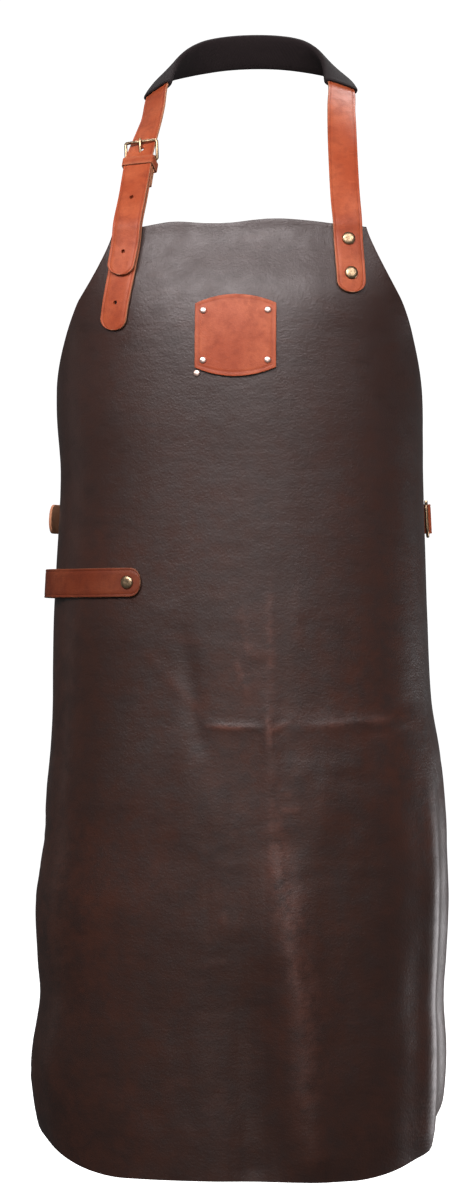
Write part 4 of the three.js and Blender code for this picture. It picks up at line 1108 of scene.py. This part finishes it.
def buildKeeper():
    station = stationAlong(anchorRoute, keeper["at"])
    width = strap["width"] + keeper["room"]
    low = -2 * turnRadius - strap["wall"] / 2 - keeper["under"]
    high = nextLayer + strap["wall"] / 2 + keeper["over"]

    def outline(grow):
        w, rounding = width / 2 + grow, keeper["corner"] + grow
        bottom, top = low - grow, high + grow
        centres = [(w - rounding, top - rounding), (-w + rounding, top - rounding),
                   (-w + rounding, bottom + rounding), (w - rounding, bottom + rounding)]
        ring = []
        for quarter, (a, b) in enumerate(centres):
            for i in range(6):
                angle = math.pi / 2 * (quarter + i / 5)
                ring.append((a + rounding * math.cos(angle), b + rounding * math.sin(angle)))
        return ring

    half, soft = keeper["height"] / 2, keeper["soft"]
    wall = keeper["wall"]
    section = [(wall, -half + soft, 0.2), (wall, 0, 0), (wall, half - soft, 0.2), (wall - soft, half, 0.7),
               (soft, half, 0.7), (0, half - soft, 1), (0, 0, 0), (0, -half + soft, 1), (soft, -half, 1),
               (wall - soft, -half, 1)]
    points, rim = [], []
    for grow, shift, mark in section:
        for a, b in outline(grow):
            points.append(station["at"] + station["across"] * a + station["face"] * b
                          + station["tangent"] * shift)
            rim.append(mark)
    count = len(outline(0))
    faces = []
    for i in range(len(section)):
        following = (i + 1) % len(section)
        for j in range(count):
            q = (j + 1) % count
            faces.append((i * count + j, i * count + q, following * count + q, following * count + j))
    zero = [0.0] * len(points)
    marks = dict(rim=rim, crease=zero, flesh=zero)
    return newPiece("strapKeeper", points, faces, "tan", ["strap_keeper"], marks)


finish(buildKeeper())


def strapRivet(name, route, piece, z, height, replaced, dimple=0.0):
    station = stationAtHeight(route, z)
    seat = station["at"] + station["face"] * strap["wall"] / 2
    grip = strap["sheetGap"] + strap["wall"] + apron["wall"] + rivet["washerGap"]
    for target in (piece, sheetPiece):
        addHole(target, seat, station["face"], rivetHole, rivet["reach"])
    spinRivet(name, seat, station["face"], grip, rivetSize["head"], height, "brass", replaced, dimple)


rightRoute = cutRoute(neckRoute, neckRoute["at"][:, 0] > 0)
for name, z, node in (("neckRivetUpper", -193, "neck_rivet_upper"),
                      ("neckRivetLower", -223.5, "neck_rivet_lower")):
    strapRivet(name, rightRoute, neckStrap, z, rivetSize["headHeight"], [node], rivetSize["dimple"])
strapRivet("buckleStrapRivet", anchorRoute, buckleStrap, -214, rivetSize["flat"], ["buckle_strap_rivet"])

pinStation = stationAlong(anchorRoute, buckle["pinAt"])
pinSeat = pinStation["at"] + pinStation["face"] * strap["wall"] / 2
addHole(buckleStrap, pinSeat, pinStation["face"], rivetHole, rivet["reach"] + 0.6)
spinRivet("buckleStrapPin", pinSeat, pinStation["face"], nextLayer + strap["wall"] + 0.3,
          rivetSize["head"] * 0.75, rivetSize["flat"], "brass", ["buckle_strap_pin"])

# the spare holes: two in the hanging end, one in the buckle strap's end
for piece, route, z in ((neckStrap, hangingRoute, -154.6), (neckStrap, hangingRoute, -205),
                        (buckleStrap, anchorRoute, -250)):
    punched = stationAtHeight(route, z)
    addHole(piece, punched["at"], punched["face"], spareHole["radius"], spareHole["reach"])
prongHole = neckRoute["at"][underBar] - buckleUp * buckle["prongHoleBelow"]
for piece in (neckStrap, buckleStrap):
    addHole(piece, prongHole, buckleFace, buckle["prongHole"], rivet["reach"])
finish(neckStrap)
finish(buckleStrap)
print("neck strap, its holes and rivets: done")

# The neck pad: black cloth with a soft filling, a sleeve round the strap

pad = dict(width=33.5, slotWide=28.5, slotHigh=4.6, mouthDepth=30, around=36, along=84, thickness=8,
           boxy=0.6, slotBoxy=0.3, tuck=0.10, narrow=0.03, tuckOver=1.2, stitch=0.07, stitchAt=4.6,
           stitchOver=0.9)
padEnds = (0, 0.5, 1.4, 2.6)  # rings stand closer at the stitched ends


def buildPad():
    covered = cutRoute(neckRoute, neckRoute["at"][:, 1] > pad["mouthDepth"])
    run = covered["along"] - covered["along"][0]
    total = run[-1]
    marks = np.concatenate([padEnds, np.linspace(4, total - 4, pad["along"]),
                            total - np.array(padEnds[::-1])])
    stations = atRun(dict(covered, along=run), marks)
    normal = faceOf(stations)
    points, rim = [], []

    def ring(i, width, thickness, power, mark):
        for step in range(pad["around"]):
            angle = 2 * math.pi * step / pad["around"]
            c, q = math.cos(angle), math.sin(angle)
            a = math.copysign(abs(c) ** power, c) * width / 2
            b = math.copysign(abs(q) ** power, q) * thickness / 2
            points.append(stations["at"][i] + stations["across"][i] * a + normal[i] * b)
            rim.append(mark)

    for i, mark in enumerate(marks):
        end = min(mark, total - mark)
        tuck = math.exp(-(end / pad["tuckOver"]) ** 2)
        stitched = 1 - pad["stitch"] * math.exp(-((end - pad["stitchAt"]) / pad["stitchOver"]) ** 2)
        wave = 1 + 0.012 * math.sin(mark / 6.3) + 0.008 * math.sin(mark / 2.7 + 1)
        width = pad["width"] * (1 - pad["narrow"] * tuck)
        thickness = pad["thickness"] * (1 - pad["tuck"] * tuck) * stitched * wave
        ring(i, width, thickness, pad["boxy"], 1.0 if end < 1 else 0.0)
    for i in range(len(marks) - 1, -1, -1):
        ring(i, pad["slotWide"], pad["slotHigh"], pad["slotBoxy"], 0.0)
    around, rings = pad["around"], 2 * len(marks)
    faces = []
    for i in range(rings):
        following = (i + 1) % rings
        for j in range(around):
            q = (j + 1) % around
            faces.append((i * around + j, i * around + q, following * around + q, following * around + j))
    return newPiece("neckPad", points, faces, "cloth", ["neck_pad"], dict(rim=rim))


padPiece = finish(buildPad(), smoothUnder["pad"])
print("neck pad: done")

# The patch: straight sides, bowed top and bottom, a tooled line along its border

patch = dict(width=72, height=57, bow=8, wall=2, centre=-281, inset=7.5, rows=72, columns=72,
             lineAt=3.6, lineWide=0.75, lineDeep=0.35, lineDark=0.8, swell=0.25)


def buildPatch():
    u = np.linspace(-1, 1, patch["columns"] + 1)[None, :].repeat(patch["rows"] + 1, axis=0)
    v = np.linspace(1, -1, patch["rows"] + 1)[:, None].repeat(patch["columns"] + 1, axis=1)
    reach = patch["height"] / 2 + patch["bow"] * (1 - u * u)
    s = u * patch["width"] / 2
    z = patch["centre"] + v * reach
    border = np.minimum((1 - np.abs(u)) * patch["width"] / 2, (1 - np.abs(v)) * reach)
    line = np.exp(-((border - patch["lineAt"]) / patch["lineWide"]) ** 2)
    swell = patch["swell"] * np.exp(-((s / 22) ** 2 + ((z - patch["centre"]) / 20) ** 2))
    top = strap["sheetGap"] + patch["wall"] - patch["lineDeep"] * line + swell
    outer = surface(s, z, top)
    inner = surface(s, z, strap["sheetGap"])
    marks = dict(crease=line * patch["lineDark"])
    return leatherShell("leatherPatch", outer, inner, "tan", ["patch"], marks)


patchPiece = buildPatch()


cutEdge = dict(round=0.5, segments=3, sharperThan=55)


def edgeFinish(piece):
    # rounds the cut edge and marks it, so that the leather's pale middle shows there
    applyModifier(piece, "BEVEL", width=cutEdge["round"] * metre, segments=cutEdge["segments"],
                  limit_method="ANGLE", angle_limit=math.radians(cutEdge["sharperThan"]),
                  use_clamp_overlap=True)
    mesh = piece.data
    flesh = np.zeros(len(mesh.vertices), np.float32)
    mesh.attributes["flesh"].data.foreach_get("value", flesh)
    rim = np.zeros(len(mesh.vertices), np.float32)
    for face in mesh.polygons:
        values = flesh[list(face.vertices)]
        if values.max() - values.min() > 0.5:
            rim[list(face.vertices)] = 1.0
    layer = mesh.attributes.new("rim", "FLOAT", "POINT")
    layer.data.foreach_set("value", rim)


edgeFinish(sheetPiece)
edgeFinish(patchPiece)


def sheetRivet(name, s, z, stack, radius, height, kind, replaced, piece=None, dimple=0.0):
    seat, axis = surface(s, z, stack), normalOf(s, z)
    for target in (piece, sheetPiece):
        if target:
            addHole(target, seat, axis, rivetHole, rivet["reach"])
    grip = stack + apron["wall"] + rivet["washerGap"]
    spinRivet(name, seat, axis, grip, radius, height, kind, replaced, dimple)


rivetAcross = patch["width"] / 2 - patch["inset"]
rivetDown = patch["height"] / 2 - patch["inset"] * 0.85
for i, (a, b) in enumerate([(-1, 1), (1, 1), (-1, -1), (1, -1)]):
    sheetRivet(f"patchRivet{i + 1}", a * rivetAcross, patch["centre"] + b * rivetDown,
               strap["sheetGap"] + patch["wall"], rivetSize["small"], rivetSize["smallHeight"],
               "copper", [f"patch_rivet_{i + 1}"], patchPiece)
sheetRivet("patchStud", -patch["width"] / 2 + 1.6,
           patch["centre"] - patch["height"] / 2 - rivetSize["small"] - 1.8, 0,
           rivetSize["small"], rivetSize["smallHeight"], "copper", ["patch_stud"])
finish(patchPiece)
print("patch: done")

# The strap that holds a towel, round the left hip

towel = dict(width=26, down=0.37925, standOff=6.5, front=-84.5, back=-282, inset=12.5, drop=2)
towelHeight = apron["bibTop"] + towel["down"] * (apron["hem"] - apron["bibTop"])
towelFront = acrossAt(towel["front"], towelHeight)


def buildTowelStrap():
    stations = []
    for i in range(15):
        share = i / 14
        s = towelFront + (towel["back"] - towelFront) * share
        bulge = min(max((share - 0.36) / 0.52, 0), 1)
        lift = strap["sheetGap"] + towel["standOff"] * math.sin(math.pi * bulge) ** 1.5 + strap["wall"] / 2
        z = towelHeight - towel["drop"] * share
        stations.append((surface(s, z, lift), -upTheSheet(s, z)))
    # the towel strap takes the darker tan copy, which is painted shade
    return buildStrap("towelStrap", smoothRoute(stations, 4), towel["width"], strap["wall"], (True, False),
                      "shadedTan", ["towel_strap"])


towelStrap = buildTowelStrap()
onOneStrap = strap["sheetGap"] + strap["wall"]
for name, s, node in (("towelRivetFront", towelFront - towel["inset"], "towel_rivet_front"),
                      ("towelRivetRear", towel["back"] + towel["inset"], "towel_rivet_rear")):
    share = (s - towelFront) / (towel["back"] - towelFront)
    sheetRivet(name, s, towelHeight - towel["drop"] * share, onOneStrap, rivetSize["head"],
               rivetSize["headHeight"], "brass", [node], towelStrap, rivetSize["dimple"])
finish(towelStrap)
print("towel strap: done")

# The strap round the waist and its ring

waist = dict(width=27, down=0.31067, standOff=8, backDepth=118, leftTip=-228, leftRivet=-276, rightRivet=272,
             ringFront=229, ringLength=16, ringRod=1.5, ringBend=7)
waistHeight = apron["bibTop"] + waist["down"] * (apron["hem"] - apron["bibTop"])


def waistRoute():
    stations = []
    for s, share in ((waist["leftTip"], 1), (-240, 0.8), (-252, 0.35), (-264, 0.05), (waist["leftRivet"], 0),
                     (-290, 0)):
        lift = onBib + waist["standOff"] * share
        stations.append((surface(s, waistHeight, lift), -upTheSheet(s, waistHeight)))
    leftEdge, rightEdge = (surface(side * apron["halfWidth"], waistHeight, onBib) for side in (-1, 1))
    for turn in np.arange(0.2, 1.9, 0.2):
        side = leftEdge if turn < 0.999 else rightEdge
        angle = math.pi / 2 * turn
        y = side[1] + (waist["backDepth"] - side[1]) * math.sin(angle) ** 0.8
        stations.append(((-math.cos(angle) * abs(side[0]), y, waistHeight), (0, 0, -1)))
    rightLift = strap["sheetGap"] + 1.5 * strap["wall"] + strap["layerGap"]
    for s in (290, waist["rightRivet"], 262):
        stations.append((surface(s, waistHeight, rightLift), -upTheSheet(s, waistHeight)))
    main = smoothRoute(stations, 5)
    rear = waist["ringFront"] + waist["ringLength"]
    radius = waist["ringRod"] + 0.3 + strap["wall"] / 2
    bar = surface(rear, waistHeight, strap["sheetGap"] + strap["wall"] + 0.3 + waist["ringRod"])
    normal = normalOf(rear, waistHeight)
    forward = -unit(np.cross((0, 0, 1), normal))
    up = upTheSheet(rear, waistHeight)
    turn = [bar + normal * radius * math.cos(a) + forward * radius * math.sin(a)
            for a in np.linspace(0, math.pi, 13)]
    under = (253, 261, waist["rightRivet"], 284)
    back = [surface(s, waistHeight, onBib) for s in under]
    across = [-up] * len(turn) + [-upTheSheet(s, waistHeight) for s in under]
    return routeFrom(np.concatenate([main["at"], turn, back]), np.concatenate([main["across"], across]))


waistStrap = buildStrap("waistStrap", waistRoute(), waist["width"], strap["wall"], (True, False),
                        "tan", ["waist_strap"])
ringRear = waist["ringFront"] + waist["ringLength"]
ringStart = surface(ringRear, waistHeight, strap["sheetGap"] + strap["wall"] + 0.3 + waist["ringRod"])
ringEnd = surface(waist["ringFront"], waistHeight, waist["ringRod"] + strap["sheetGap"])
ringAlong = ringEnd - ringStart
wirePiece("waistRing", roundedLoop(ringStart, upTheSheet(ringRear, waistHeight), unit(ringAlong),
                                   waist["width"] + 5, float(np.linalg.norm(ringAlong)), buckle["bend"],
                                   waist["ringBend"]), waist["ringRod"], True, ["waist_ring"])
onTwoStraps = strap["sheetGap"] + 2 * strap["wall"] + strap["layerGap"]
for name, s, stack, node in (("waistRivetLeft", waist["leftRivet"], onOneStrap, "waist_rivet_left"),
                             ("waistRivetRight", waist["rightRivet"], onTwoStraps, "waist_rivet_right")):
    sheetRivet(name, s, waistHeight, stack, rivetSize["head"], rivetSize["headHeight"], "brass", [node],
               waistStrap, rivetSize["dimple"])
finish(waistStrap)
finish(sheetPiece, smoothUnder["sheet"])
print("waist strap and sheet: done")
